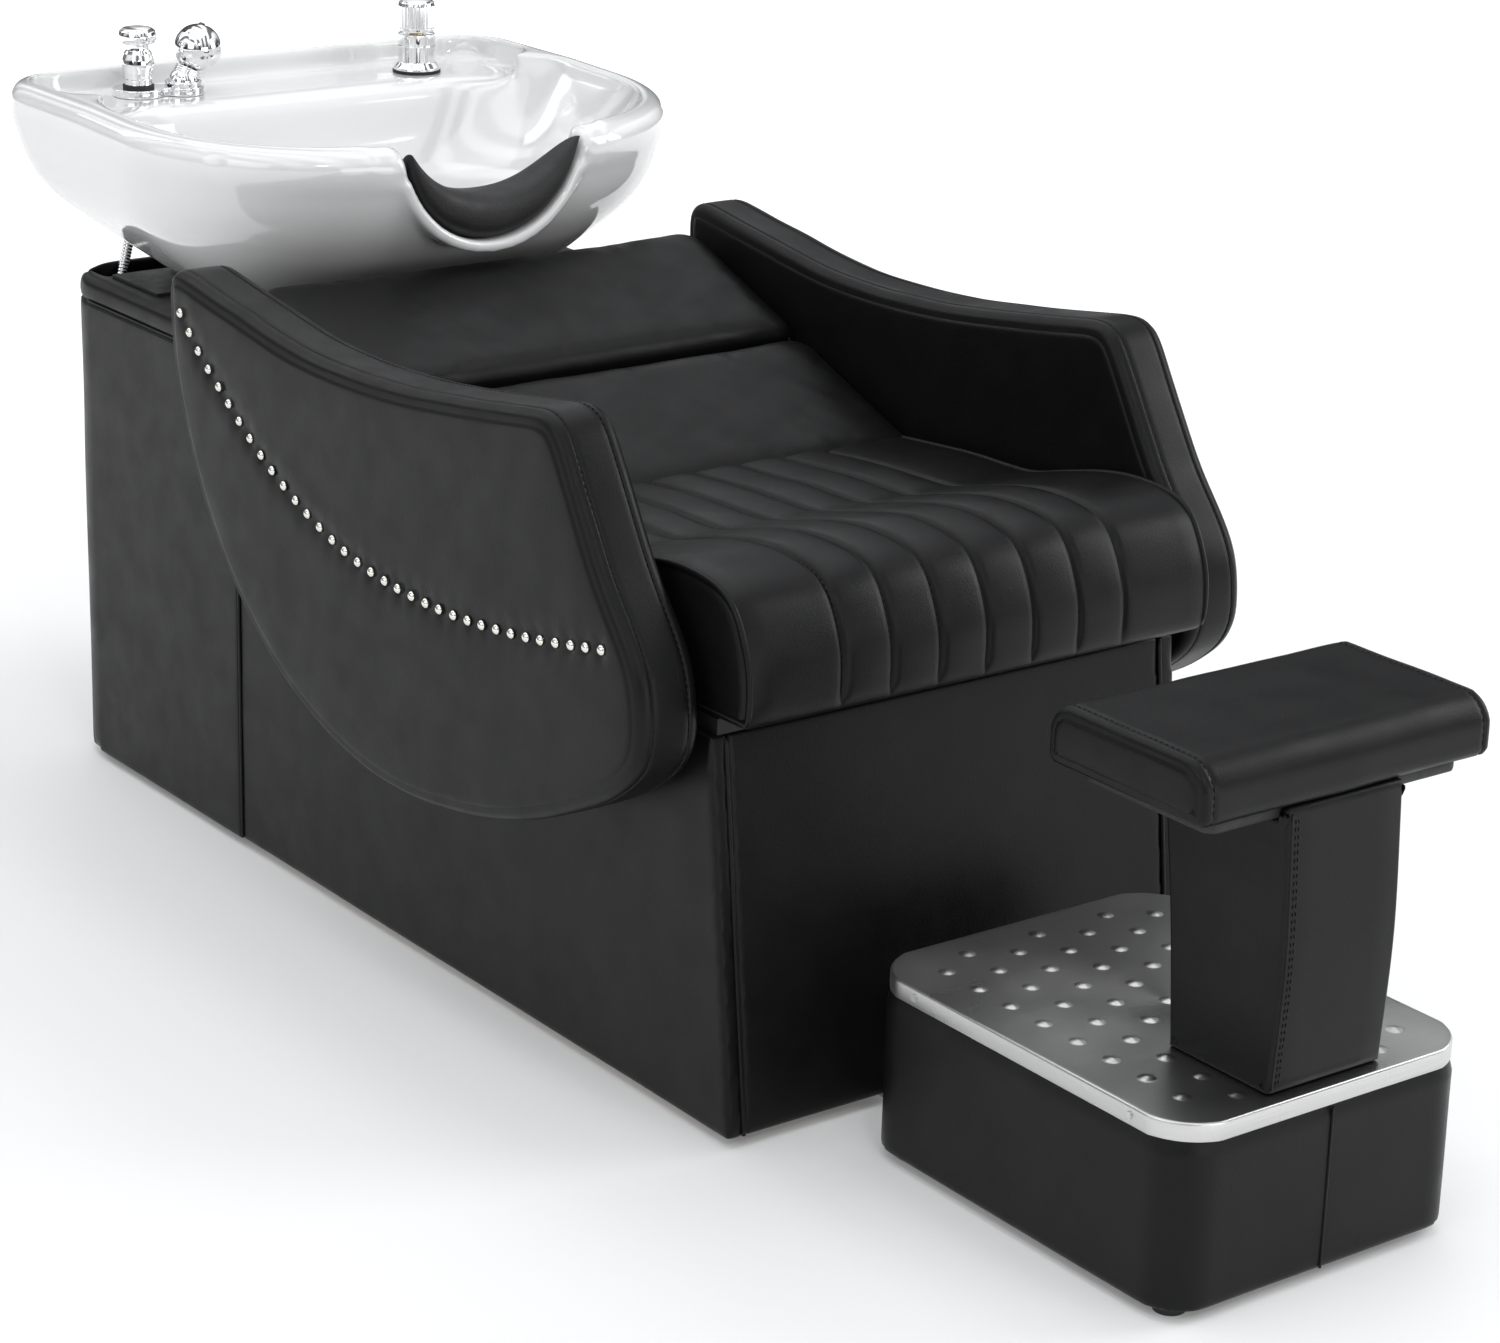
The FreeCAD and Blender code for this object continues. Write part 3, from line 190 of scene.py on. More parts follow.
def brushed():
    """Stainless sheet, brushed from side to side."""
    material, tree, principled, place = shader("brushed_stainless", (0.62, 0.62, 0.61), 0.3, 1.0,
                                               Anisotropic=0.45)
    grain = noise(tree, scaled(tree, place, (6.0, 900.0, 900.0)), 2.0, 5.0, 0.6)
    cloud = noise(tree, place.outputs["Object"], 6.0, 3.0)
    vary(tree, principled, "Roughness", cloud, 0.26, 0.36)
    tint(tree, principled, grain, (0.50, 0.50, 0.49), (0.70, 0.70, 0.69))
    bumps(tree, principled, [(grain, 0.00005)])
    return material


def rubber(name="gel_rubber", colour=(0.016, 0.016, 0.017), grain=520.0, roughness=0.5):
    material, tree, principled, place = shader(name, colour, roughness, Specular_IOR_Level=0.4)
    flat = place.outputs["Object"]
    cells = node(tree, "TexVoronoi", Scale=grain)
    tree.links.new(flat, cells.inputs["Vector"])
    vary(tree, principled, "Roughness", noise(tree, flat, 40.0), roughness - 0.06, roughness + 0.07)
    tint(tree, principled, noise(tree, flat, 60.0), *shades(colour, 0.8, 1.25))
    bumps(tree, principled, [(cells.outputs["Distance"], 0.00025)])
    return material


def timber():
    """Plywood and pine: long grain from front to back with darker growth lines."""
    material, tree, principled, place = shader("bare_timber", (0.55, 0.40, 0.24), 0.62)
    along = scaled(tree, place, (14.0, 0.9, 14.0))
    grain = noise(tree, along, 7.0, 6.0, 0.6)
    fibre = noise(tree, scaled(tree, place, (300.0, 8.0, 300.0)), 3.0, 3.0)
    tint(tree, principled, grain, (0.33, 0.21, 0.11), (0.68, 0.52, 0.33))
    vary(tree, principled, "Roughness", fibre, 0.55, 0.72)
    bumps(tree, principled, [(fibre, 0.0002)])
    return material


MATERIALS = {
    "upholstery": leather(),
    "timber": timber(),
    "black_board": plastic("black_stained_board", (0.010, 0.010, 0.010), 0.6),
    "glide": plastic("black_nylon", (0.012, 0.012, 0.012), 0.42),
    "fastener": metal("zinc_screw", (0.60, 0.60, 0.60), 0.28),
    "nail": nickel(),
    "tread_plate": brushed(),
    "zinc_steel": metal("zinc_bar", (0.55, 0.56, 0.57), 0.36, 40.0),
    "painted_steel": metal("black_powder_coat", (0.02, 0.02, 0.02), 0.5, 900.0, 0.0),
    "buffer_rubber": rubber("buffer_rubber", (0.02, 0.02, 0.02), 300.0, 0.7),
    "ceramic_glaze": glaze(),
    "gel_rubber": rubber(),
    "tap_chrome": chrome(),
    "tap_brass": metal("turned_brass", (0.66, 0.50, 0.22), 0.3, 120.0),
    "waste_plastic": plastic("white_plastic", (0.80, 0.80, 0.79), 0.38),
    "tap_rubber": rubber("washer_rubber", (0.015, 0.015, 0.015), 900.0, 0.6),
    "black_plastic": plastic("black_plastic", (0.012, 0.012, 0.012), 0.25),
    "hose_metal": chrome(),
}
SLOT_OF = {part["node"]: part["material_slot"] for part in frame["record"]["subparts"]}
for name, item in frame["nodes"].items():
    item.data.materials.clear()
    item.data.materials.append(MATERIALS[SLOT_OF[name]])


# ------------------------------------------------------------------ mesh tools

MM = 0.001
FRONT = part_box("base_front_panel")[0][1]
HALF_PI = math.pi / 2
SAME_SPOT = 1e-5


def at(x, depth, z):
    """Millimetres from the chair's middle, its front bottom edge and the floor, as a point in the frame."""
    return Vector((x * MM, FRONT + depth * MM, z * MM))


def turns(sides):
    """The angles of a ring's points."""
    return np.arange(sides) * 2 * math.pi / sides


def bands(rows, count, base=0):
    """Quads between successive rings of count points each."""
    return [(base + row * count + i, base + row * count + (i + 1) % count,
             base + (row + 1) * count + (i + 1) % count, base + (row + 1) * count + i)
            for row in range(rows - 1) for i in range(count)]


def caps(rows, count):
    """The two faces that close a stack of rings."""
    last = (rows - 1) * count
    return [tuple(range(count))[::-1], tuple(range(last, last + count))]


def closed_mesh(name, points, faces, weld):
    """A mesh in the frame's metres from the chair's own millimetres, facing outwards."""
    mesh = bpy.data.meshes.new(name)
    spots = np.asarray(points, float) * MM
    spots[:, 1] += FRONT
    mesh.from_pydata(spots.tolist(), [], faces)
    if weld:
        mesh.validate()
    work = bmesh.new()
    work.from_mesh(mesh)
    if weld:
        bmesh.ops.remove_doubles(work, verts=work.verts, dist=1e-6)
    bmesh.ops.recalc_face_normals(work, faces=work.faces)
    work.to_mesh(mesh)
    work.free()
    return mesh


def solid(name, points, faces, slot, body="chair", nodes=()):
    """A new piece from millimetre points, riding a body and standing for CAD nodes."""
    return joined(name, closed_mesh(name, points, faces, True), slot, body, nodes)


def joined(name, mesh, slot, body, nodes):
    """A piece from a mesh in metres, with its slot, its body and the CAD nodes that it stands for."""
    item = bpy.data.objects.new(name, mesh)
    scene.collection.objects.link(item)
    mesh.materials.clear()
    mesh.materials.append(MATERIALS[slot])
    mesh.polygons.foreach_set("use_smooth", [True] * len(mesh.polygons))
    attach(item, body)
    if nodes:
        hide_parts(*nodes)
    return item


def baked(item):
    """Applies an object's modifiers to its mesh."""
    graph = bpy.context.evaluated_depsgraph_get()
    mesh = bpy.data.meshes.new_from_object(item.evaluated_get(graph))
    item.modifiers.clear()
    item.data = mesh
    mesh.polygons.foreach_set("use_smooth", [True] * len(mesh.polygons))
    return item


def vertices(item):
    flat = np.empty(len(item.data.vertices) * 3)
    item.data.vertices.foreach_get("co", flat)
    return flat.reshape(-1, 3)


def set_vertices(item, spots):
    item.data.vertices.foreach_set("co", np.ascontiguousarray(spots).ravel())
    item.data.update()


def softened(name, node_name, slot, body, voxel, rounds, move=None):
    """A remeshed and eased copy of a CAD node, so that its edges are rolled over as a cover's are."""
    item = joined(name, frame["nodes"][node_name].data.copy(), slot, body, (node_name,))
    weld = item.modifiers.new("weld", "WELD")
    weld.merge_threshold = SAME_SPOT
    skin = item.modifiers.new("skin", "REMESH")
    skin.mode = "VOXEL"
    skin.voxel_size = voxel * MM
    ease = item.modifiers.new("ease", "SMOOTH")
    ease.factor = 0.5
    ease.iterations = rounds
    baked(item)
    if move:
        set_vertices(item, move(vertices(item)))


def flow(points, step):
    """Evenly spaced points on a smooth curve through the given ones."""
    knots = [np.asarray(point, float) for point in points]
    knots = [2 * knots[0] - knots[1]] + knots + [2 * knots[-1] - knots[-2]]
    dense = []
    for a, b, c, d in zip(knots, knots[1:], knots[2:], knots[3:]):
        for t in np.linspace(0, 1, 24, endpoint=False):
            dense.append(0.5 * (2 * b + (c - a) * t + (2 * a - 5 * b + 4 * c - d) * t * t
                                + (3 * b - a - 3 * c + d) * t ** 3))
    dense.append(knots[-2])
    return even(np.array(dense), step)


def even(line, step):
    """Respaces a polyline to about the given step, both ends kept."""
    gaps = np.linalg.norm(np.diff(line, axis=0), axis=1)
    along = np.concatenate([[0], np.cumsum(gaps)])
    count = max(2, int(round(along[-1] / step)) + 1)
    marks = np.linspace(0, along[-1], count)
    return np.stack([np.interp(marks, along, line[:, k]) for k in range(line.shape[1])], axis=1)


def rounded(corners, radii, step):
    """A closed ring of points round a polygon whose corners are arcs."""
    count = len(corners)
    line = []
    for index in range(count):
        corner = np.asarray(corners[index], float)
        back = np.asarray(corners[index - 1], float) - corner
        ahead = np.asarray(corners[(index + 1) % count], float) - corner
        back /= np.linalg.norm(back)
        ahead /= np.linalg.norm(ahead)
        turn = math.pi - math.acos(np.clip(back @ ahead, -1, 1))
        reach = radii[index] * math.tan(turn / 2)
        start = corner + back * reach
        end = corner + ahead * reach
        for t in np.linspace(0, 1, 9):
            eased = 0.55 * corner + 0.225 * (start + end)
            line.append((1 - t) ** 2 * start + 2 * t * (1 - t) * eased + t * t * end)
    line.append(line[0])
    return even(np.array(line), step)[:-1]


def inward(ring):
    """Unit normals that point into an anticlockwise ring."""
    way = np.roll(ring, -1, axis=0) - np.roll(ring, 1, axis=0)
    way /= np.linalg.norm(way, axis=1)[:, None] + 1e-12
    return np.stack([-way[:, 1], way[:, 0]], axis=1)


def area(ring):
    """Signed area of a ring, positive when it runs anticlockwise."""
    x, y = ring[:, 0], ring[:, 1]
    return 0.5 * (x @ np.roll(y, -1) - y @ np.roll(x, -1))


def gap_to(points, ring, closed=True):
    """Distance from each point to a polyline."""
    start = ring if closed else ring[:-1]
    end = np.roll(ring, -1, axis=0) if closed else ring[1:]
    run = end - start
    size = (run ** 2).sum(axis=1) + 1e-12
    best = np.full(len(points), 1e9)
    for part in range(0, len(points), 2000):
        some = points[part:part + 2000]
        t = np.clip(((some[:, None] - start) * run).sum(axis=2) / size, 0, 1)
        near = start + t[..., None] * run
        best[part:part + 2000] = np.sqrt(((some[:, None] - near) ** 2).sum(axis=2)).min(axis=1)
    return best


def nearest(points, spots):
    """Distance from each point to the nearest spot."""
    return np.sqrt(((points[:, None] - spots) ** 2).sum(axis=2)).min(axis=1)


def around(spots, radius, number):
    """Points on a circle round each spot."""
    return [spots + radius * np.array([math.cos(turn), math.sin(turn)]) for turn in turns(number)]


def triangulated(ring, grid):
    """Points and triangles that fill a ring through a grid of inner points."""
    count = len(ring)
    everything = [Vector(point) for point in np.vstack([ring, grid])]
    edges = [(i, (i + 1) % count) for i in range(count)]
    found, _, triangles, _, _, _ = delaunay_2d_cdt(everything, edges, [], 1, SAME_SPOT)
    return np.array([tuple(point) for point in found]), triangles


def within(points, ring):
    """True for points inside a ring."""
    x, y = points[:, 0][:, None], points[:, 1][:, None]
    x1, y1 = ring[:, 0], ring[:, 1]
    x2, y2 = np.roll(x1, -1), np.roll(y1, -1)
    crosses = ((y1 > y) != (y2 > y)) & (x < (x2 - x1) * (y - y1) / (y2 - y1 + 1e-12) + x1)
    return crosses.sum(axis=1) % 2 == 1


def slab(name, ring, thick, put, roll, height, columns, strip, step, spots, nodes):
    """A padded, covered form between two faces of the same outline, with an edge strip rolled over at both.

    put(u, v, w) places points, w running across the thickness. height(uv, gap, side) is how far a face
    stands proud, strip(uv, w) how far the edge strip does. spots are face points that need a fine mesh.
    """
    normal = inward(ring)
    count = len(ring)
    half = thick / 2
    points = []

    def add(uv, w):
        points.extend(np.column_stack([uv, np.broadcast_to(w, len(uv))]).tolist())

    widths = columns if hasattr(columns, "__len__") else np.linspace(-half + roll, half - roll, columns)
    face_insets = [roll + extra for extra in (0.8, 2.0, 4.0, 7.0)]
    bends = [math.radians(angle) for angle in (22, 45, 67, 90)]
    rows = []
    for side in (-1, 1):
        edge = [(roll * (1 - math.cos(bend)), side * (half - roll + roll * math.sin(bend)))
                for bend in bends]
        flat = [(inset, side * half) for inset in face_insets]
        rows.append(edge + flat)
    order = [("face", *row) for row in reversed(rows[0])]
    order += [("strip", 0, w) for w in widths]
    order += [("face", *row) for row in rows[1]]
    for kind, inset, w in order:
        uv = ring + normal * inset
        if kind == "strip":
            proud = strip(ring, w) if strip else np.zeros(count)
            add(ring - normal * proud[:, None], w)
        else:
            lift = np.zeros(count)
            if inset > roll * 0.99:
                lift = height(uv, np.full(count, inset - roll), np.sign(w))
            elif strip:
                blend = 1 - inset / roll
                uv = uv - normal * (strip(ring, w) * blend)[:, None]
            add(uv, w + np.sign(w) * lift)
    faces = bands(len(order), count)

    inner = ring + normal * face_insets[-1]
    low, high = inner.min(axis=0), inner.max(axis=0)
    grid = []
    for number, v in enumerate(np.arange(low[1], high[1], step * 0.866)):
        for u in np.arange(low[0] + (number % 2) * step / 2, high[0], step):
            grid.append((u, v))
    grid = np.array(grid)
    grid = grid[within(grid, inner)]
    grid = grid[gap_to(grid, inner) > 0.55 * step]
    if len(spots):
        grid = grid[nearest(grid, spots) > 15]
        dense = [spots]
        for radius, number in ((3, 6), (6, 8), (9.5, 10)):
            dense += around(spots, radius, number)
        grid = np.vstack([grid] + dense)
    flat, triangles = triangulated(inner, grid)
    far = gap_to(flat, ring) - roll
    for side in (-1, 1):
        base = len(points)
        add(flat, side * (half + height(flat, far, side)))
        faces += [tuple(base + i for i in triangle) for triangle in triangles]
    placed = put(*np.array(points).T)
    return solid(name, np.column_stack(placed), faces, "upholstery", nodes=nodes)


def tube(name, line, radius, slot, body="chair", sides=8, closed=False, wave=None):
    """A round cord, hose or piping along millimetre points; wave(length along) varies its radius."""
    line = np.asarray(line, float)
    count = len(line)
    if closed:
        way = np.roll(line, -1, axis=0) - np.roll(line, 1, axis=0)
    else:
        way = np.gradient(line, axis=0)
    way /= np.linalg.norm(way, axis=1)[:, None] + 1e-12
    across = np.cross(way[0], (0.31, 0.42, 0.85))
    points = []
    along = np.concatenate([[0], np.cumsum(np.linalg.norm(np.diff(line, axis=0), axis=1))])
    for index in range(count):
        across = across - way[index] * (across @ way[index])
        across /= np.linalg.norm(across)
        other = np.cross(way[index], across)
        size = radius if wave is None else wave(along[index])
        for turn in turns(sides):
            points.append(line[index] + size * (math.cos(turn) * across + math.sin(turn) * other))
    if closed:
        faces = [tuple(i % len(points) for i in face) for face in bands(count + 1, sides)]
    else:
        faces = bands(count, sides) + caps(count, sides)
    return solid(name, points, faces, slot, body)


def lathe(name, profile, centre, body, nodes, sides=64, wobble=None):
    """A turned chrome piece from (radius, z) corners; wobble(angle, z) scales the radius."""
    points = []
    for radius, z in profile:
        for turn in turns(sides):
            size = radius * (wobble(turn, z) if wobble else 1)
            points.append((centre[0] + size * math.cos(turn), centre[1] + size * math.sin(turn), z))
    faces = bands(len(profile), sides) + caps(len(profile), sides)
    return solid(name, points, faces, "tap_chrome", body, nodes)


def ripple(spots, size, seed=0.0):
    """A smooth, repeatable unevenness between about -1 and 1, size millimetres from crest to crest."""
    pace = 2 * math.pi / size
    total = np.zeros(len(spots))
    ways = ((1.0, 0.31, 0.52), (-0.43, 0.92, 0.37), (0.27, -0.55, 1.1), (0.8, 0.9, -0.6))
    for number, (a, b, c) in enumerate(ways):
        along = a * spots[:, 0] + b * spots[:, 1] + c * spots[:, -1]
        total += np.sin(pace * along + seed + 1.7 * number)
    return total / 4


# ------------------------------------------------------------------ cloth

CLOTH_VOXEL = 6
PRESSURE = 4.0
LAST_FRAME = 20


def swell(item, cap):
    """Inflates a stuffed piece with cloth, no vertex moving further than cap millimetres."""
    skin = item.modifiers.new("skin", "REMESH")
    skin.mode = "VOXEL"
    skin.voxel_size = CLOTH_VOXEL * MM
    baked(item)
    rest = vertices(item).copy()
    cloth = item.modifiers.new("cloth", "CLOTH")
    cloth.settings.use_pressure = True
    cloth.settings.uniform_pressure_force = PRESSURE
    cloth.settings.effector_weights.gravity = 0
    cloth.settings.quality = 4
    cloth.point_cache.frame_start = 1
    cloth.point_cache.frame_end = LAST_FRAME
    for number in range(1, LAST_FRAME + 1):
        scene.frame_set(number)
    baked(item)
    scene.frame_set(1)
    moved = vertices(item) - rest
    length = np.linalg.norm(moved, axis=1)[:, None] + 1e-12
    limit = cap * MM
    set_vertices(item, rest + moved / length * (limit * np.tanh(length / limit)))
    finer = item.modifiers.new("finer", "SUBSURF")
    finer.levels = 1
    baked(item)


# ------------------------------------------------------------------ chair

ROLL = 12.0
ARM_MIDDLE = 316
ARM_THICK = 66
ARM_SEAM = 18.9
NAIL_SEAT = 350.0
NAILS_A_SIDE = 34
STRIP_COLUMNS = sorted(sign * w for w in (2, 7, 12, 16, 17.4, 18.0, 18.5, 19.0, 19.6, 21)
                       for sign in (-1, 1))


def arm_ring():
    toe, brow, crown, tip, heel = (34, 385), (170, 634), (200, 642), (848, 636), (858, 600)
    front = flow([toe, (46, 450), (100, 520), (140, 585), brow], 7)
    nose = flow([brow, (181, 641), crown], 4)
    top = flow([crown, (300, 626), (450, 608), (600, 605), (730, 620), tip], 8)
    tail = flow([tip, (857, 628), heel], 5)
    belly = flow([heel, (846, 520), (797, 412), (718, 320), (601, 250), (446, 219), (269, 243), (126, 300),
                  (52, 350), toe], 8)
    ring = np.vstack([part[:-1] for part in (front, nose, top, tail, belly)])
    ring = even(np.vstack([ring, ring[:1]]), 7)[:-1][::-1]
    for _ in range(7):
        ring = 0.5 * ring + 0.25 * (np.roll(ring, 1, axis=0) + np.roll(ring, -1, axis=0))
    return ring


def nail_line():
    """The sagging line of the nail heads at 1 mm steps, and the nails' own places on it."""
    line = flow([(828, 595), (772, 550), (647, 476), (509, 431), (368, 421), (226, 433), (93, 457)], 1.0)
    marks = np.linspace(0, len(line) - 1, NAILS_A_SIDE)
    return line, np.array([line[int(round(mark))] for mark in marks])


def stitched(name, side, x, ring, out):
    """Stitches right round a ring at one distance from the middle plane."""
    line = np.column_stack([np.full(len(ring), side * x), ring])
    facing = np.column_stack([np.zeros(len(ring)), out])
    stitches(name, np.vstack([line, line[:1]]), np.vstack([facing, facing[:1]]))


def arms():
    ring = arm_ring()
    line, heads = nail_line()
    sling = line[::8]

    for name, side in (("left", -1), ("right", 1)):
        def height(uv, gap, face):
            """Crowned, eased in along the nail line and dimpled at each nail on the outer face."""
            proud = 2.2 * (1 - np.exp(-gap / 16)) - 1.3 * np.exp(-(gap / 1.6) ** 2)
            uneven = 0.7 * ripple(uv, 150, side) + 0.35 * ripple(uv, 61, 2.0)
            proud = proud + uneven * (1 - np.exp(-gap / 30))
            if face < 0:
                return proud
            track = gap_to(uv, sling, closed=False)
            puckers = 0.5 * np.sin(uv[:, 0] * 2 * math.pi / 25.0) * np.exp(-(track / 16) ** 2)
            close = nearest(uv, heads)
            return proud - 2.4 * np.exp(-(track / 11) ** 2) - 1.5 * np.exp(-(close / 5.5) ** 2) + puckers

        def strip(uv, w):
            crown = 1.6 * math.cos(w / 33 * 1.2) - 1.3 * math.exp(-((abs(w) - 18.5) / 1.0) ** 2)
            return crown + 0.5 * ripple(np.column_stack([uv, np.full(len(uv), w)]), 90)

        def put(u, v, w):
            return side * (ARM_MIDDLE + w), u, v

        arm = slab("arm_cover_" + name, ring, ARM_THICK, put, ROLL, height, STRIP_COLUMNS, strip, 9.0, heads,
                   ("arm_" + name,))
        normal = inward(ring)
        for face, x in (("outer", ARM_MIDDLE + ARM_SEAM), ("inner", ARM_MIDDLE - ARM_SEAM)):
            stitched("arm_stitches_%s_%s" % (name, face), side, x, ring - normal * 0.5, -normal)


def nails():
    """Hammered domes with a rolled edge, one mesh a side."""
    profile = [(0.05, 3.3), (1.6, 3.1), (3.0, 2.4), (4.1, 1.4), (4.8, 0.5), (5.0, -0.3), (4.6, -0.6)]
    sides = 20
    for name, side in (("left", -1), ("right", 1)):
        points = []
        faces = []
        for number, (depth, z) in enumerate(nail_line()[1]):
            base = len(points)
            for radius, rise in profile:
                for turn in turns(sides) + number:
                    points.append((side * (NAIL_SEAT + rise), depth + radius * math.cos(turn),
                                   z + radius * math.sin(turn)))
            faces += bands(len(profile), sides, base)
            faces.append(tuple(base + i for i in range(sides)))
        solid("nail_domes_" + name, points, faces, "nail", nodes=("nailheads_" + name,))


SEAT_TOP = [(452, 472), (410, 476), (338, 482), (273, 484), (241, 487), (200, 498), (152, 510), (115, 516),
            (80, 517), (46, 513), (24, 502), (10, 483), (-2, 453), (-5, 424), (-3, 402)]
CHANNEL = 54.0
CHANNELLED = 3 * CHANNEL


def seat():
    top = flow(SEAT_TOP, 7)
    bottom = even(np.array([(3, 394), (60, 393), (452, 393)], float), 12)
    ring = np.vstack([top, bottom, [(455, 398)]])
    ring = even(np.vstack([ring, ring[:1]]), 7)[:-1]

    def channels(x):
        """How far the channelled middle stands proud of the plain profile at x."""
        if abs(x) >= CHANNELLED:
            past = abs(x) - CHANNELLED
            return -3.2 * math.exp(-(past / 3.0) ** 2) + 1.4 * (1 - math.exp(-past / 14)) * (past < 96)
        share = (x / CHANNEL) % 1.0
        seam = min(share, 1 - share) * CHANNEL
        return 2.4 * math.sqrt(max(0, math.sin(math.pi * share))) - 3.2 * math.exp(-(seam / 2.2) ** 2)

    shares = (0, 0.02, 0.045, 0.09, 0.18, 0.32, 0.5, 0.68, 0.82, 0.91, 0.955, 0.98)
    columns = [(number + share) * CHANNEL for number in range(-3, 3) for share in shares] + [CHANNELLED]
    outer = [CHANNELLED + past for past in (1.2, 2.6, 5, 9, 16, 28, 44, 60, 76, 88)]
    columns = sorted([-x for x in outer] + columns + outer + [-258, 258])

    def strip(uv, w):
        shown = np.clip((uv[:, 1] - 400) / 12, 0, 1)
        uneven = 0.8 * ripple(np.column_stack([uv, np.full(len(uv), w)]), 120)
        return shown * (channels(w) + uneven)

    def height(uv, gap, side):
        return 5.0 * (1 - np.exp(-gap / 22)) - 1.2 * np.exp(-(gap / 1.8) ** 2) + 0.8 * ripple(uv, 90, side)

    cushion = slab("seat_pad", ring, 528, upright, 6, height, columns, strip, 12, (), ("seat_cushion",))
    normal = inward(ring)
    shown = ring[:, 1] > 399
    edge = (ring + normal * 1.5)[shown]
    seam = (ring + normal * 2.9)[shown]
    for number in range(-3, 4):
        x = np.full(len(seam), number * CHANNEL)
        stitches("seat_stitches_%d" % (number + 3), np.column_stack([x, seam]),
                 np.column_stack([0 * x, -normal[shown]]))
    for name, side in (("left", -1), ("right", 1)):
        line = np.column_stack([np.full(len(edge), side * 262.5), edge])
        tube("seat_piping_" + name, line, 3.0, "upholstery")


def back_cushions():
    slope = math.radians(20.4)
    foot = np.array((430.0, 470.0))
    run = np.array((math.cos(slope), math.sin(slope)))
    lift = np.array((-math.sin(slope), math.cos(slope)))
    for name, start, length in (("lower", 1.5, 209), ("upper", 216.5, 205)):
        ring = rounded([(-275, 0), (275, 0), (275, length), (-275, length)], [16, 16, 24, 24], 8)

        def height(uv, gap, side):
            return 1.0 * (1 - np.exp(-gap / 20)) + 0.5 * ripple(uv, 130, start)

        def put(u, v, w):
            along = foot + (start + v)[:, None] * run + (w - 22)[:, None] * lift
            return u, along[:, 0], along[:, 1]

        pad = slab(name + "_back_pad", ring, 38, put, 11, height, 4, None, 10, (), (name + "_back_cushion",))
        swell(pad, 4)
        seam = ring + inward(ring)
        edge = put(seam[:, 0], seam[:, 1], np.full(len(seam), -3.0))
        tube(name + "_back_piping", np.column_stack(edge), 2.6, "upholstery", closed=True)
        spots = vertices(pad)
        away = 1 - np.exp(-np.abs(np.abs(spots[:, 0]) - 0.275) / 0.03)
        wrinkle = ripple(spots * 1000, 70, start) * 0.6 + ripple(spots * 1000, 28, 1.0) * 0.18
        spots[:, 2] += away * wrinkle * MM * (spots[:, 2] > 0.45)
        set_vertices(pad, spots)


def covers():
    """The vinyl-covered boards of the base and the cabinet, with their piping and seams."""
    def taut(spots):
        """The cover's slight unevenness over its board."""
        grid = spots * 1000
        swayed = spots.copy()
        swayed[:, 0] += 0.0005 * ripple(grid, 170, 0.4)
        swayed[:, 1] += 0.0005 * ripple(grid, 150, 2.1)
        return swayed

    for name, node_name, voxel in (("base_cover_left", "base_side_left", 4),
                                   ("base_cover_right", "base_side_right", 4),
                                   ("front_cover", "base_front_panel", 4),
                                   ("cabinet_cover", "cabinet_shell", 5),
                                   ("bulkhead_cover", "rear_bulkhead", 5)):
        softened(name, node_name, "upholstery", "chair", voxel, 4, move=taut)
    softened("cabinet_lid", "cabinet_top", "upholstery", "chair", 4, 10, move=taut)

    def tucked(spots):
        """The footrest's cover, drawn in under the lip of the tread plate."""
        middle = FRONT - 0.262
        share = np.clip((spots[:, 2] - 0.150) / 0.012, 0, 1)[:, None]
        moved = taut(spots)
        scale = 1 - 0.014 * share[:, 0]
        moved[:, 0] *= scale
        moved[:, 1] = middle + (moved[:, 1] - middle) * scale
        moved[:, 2] -= 0.0015 * share[:, 0] * (moved[:, 2] > 0.17)
        return moved

    softened("footrest_cover", "footrest_shell", "upholstery", "chair", 4, 4, move=tucked)
    for name, side in (("left", -1), ("right", 1)):
        slant = [(side * 252, 0.5 + 43.0 * t, 12 + 362 * t) for t in np.linspace(0, 1, 60)]
        tube("front_piping_" + name, slant, 2.2, "upholstery")
        upright_seam = [(side * 269.3, 864, z) for z in np.linspace(12, 520, 60)]
        tube("base_seam_" + name, upright_seam, 1.6, "upholstery")
    lid = rounded([(-269, 868), (269, 868), (269, 1251), (-269, 1251)], [4, 4, 70, 70], 8)
    edge = np.column_stack([lid + inward(lid) * 0.4, np.full(len(lid), 522.5)])
    tube("lid_seam", edge, 1.3, "upholstery", closed=True)
    tube("footrest_seam", [(1, -464.2, z) for z in np.linspace(12, 160, 30)], 1.3, "upholstery")


STITCH_GAP = 6.5
STITCH_LENGTH = 4.0
STITCH_SIDES = 6


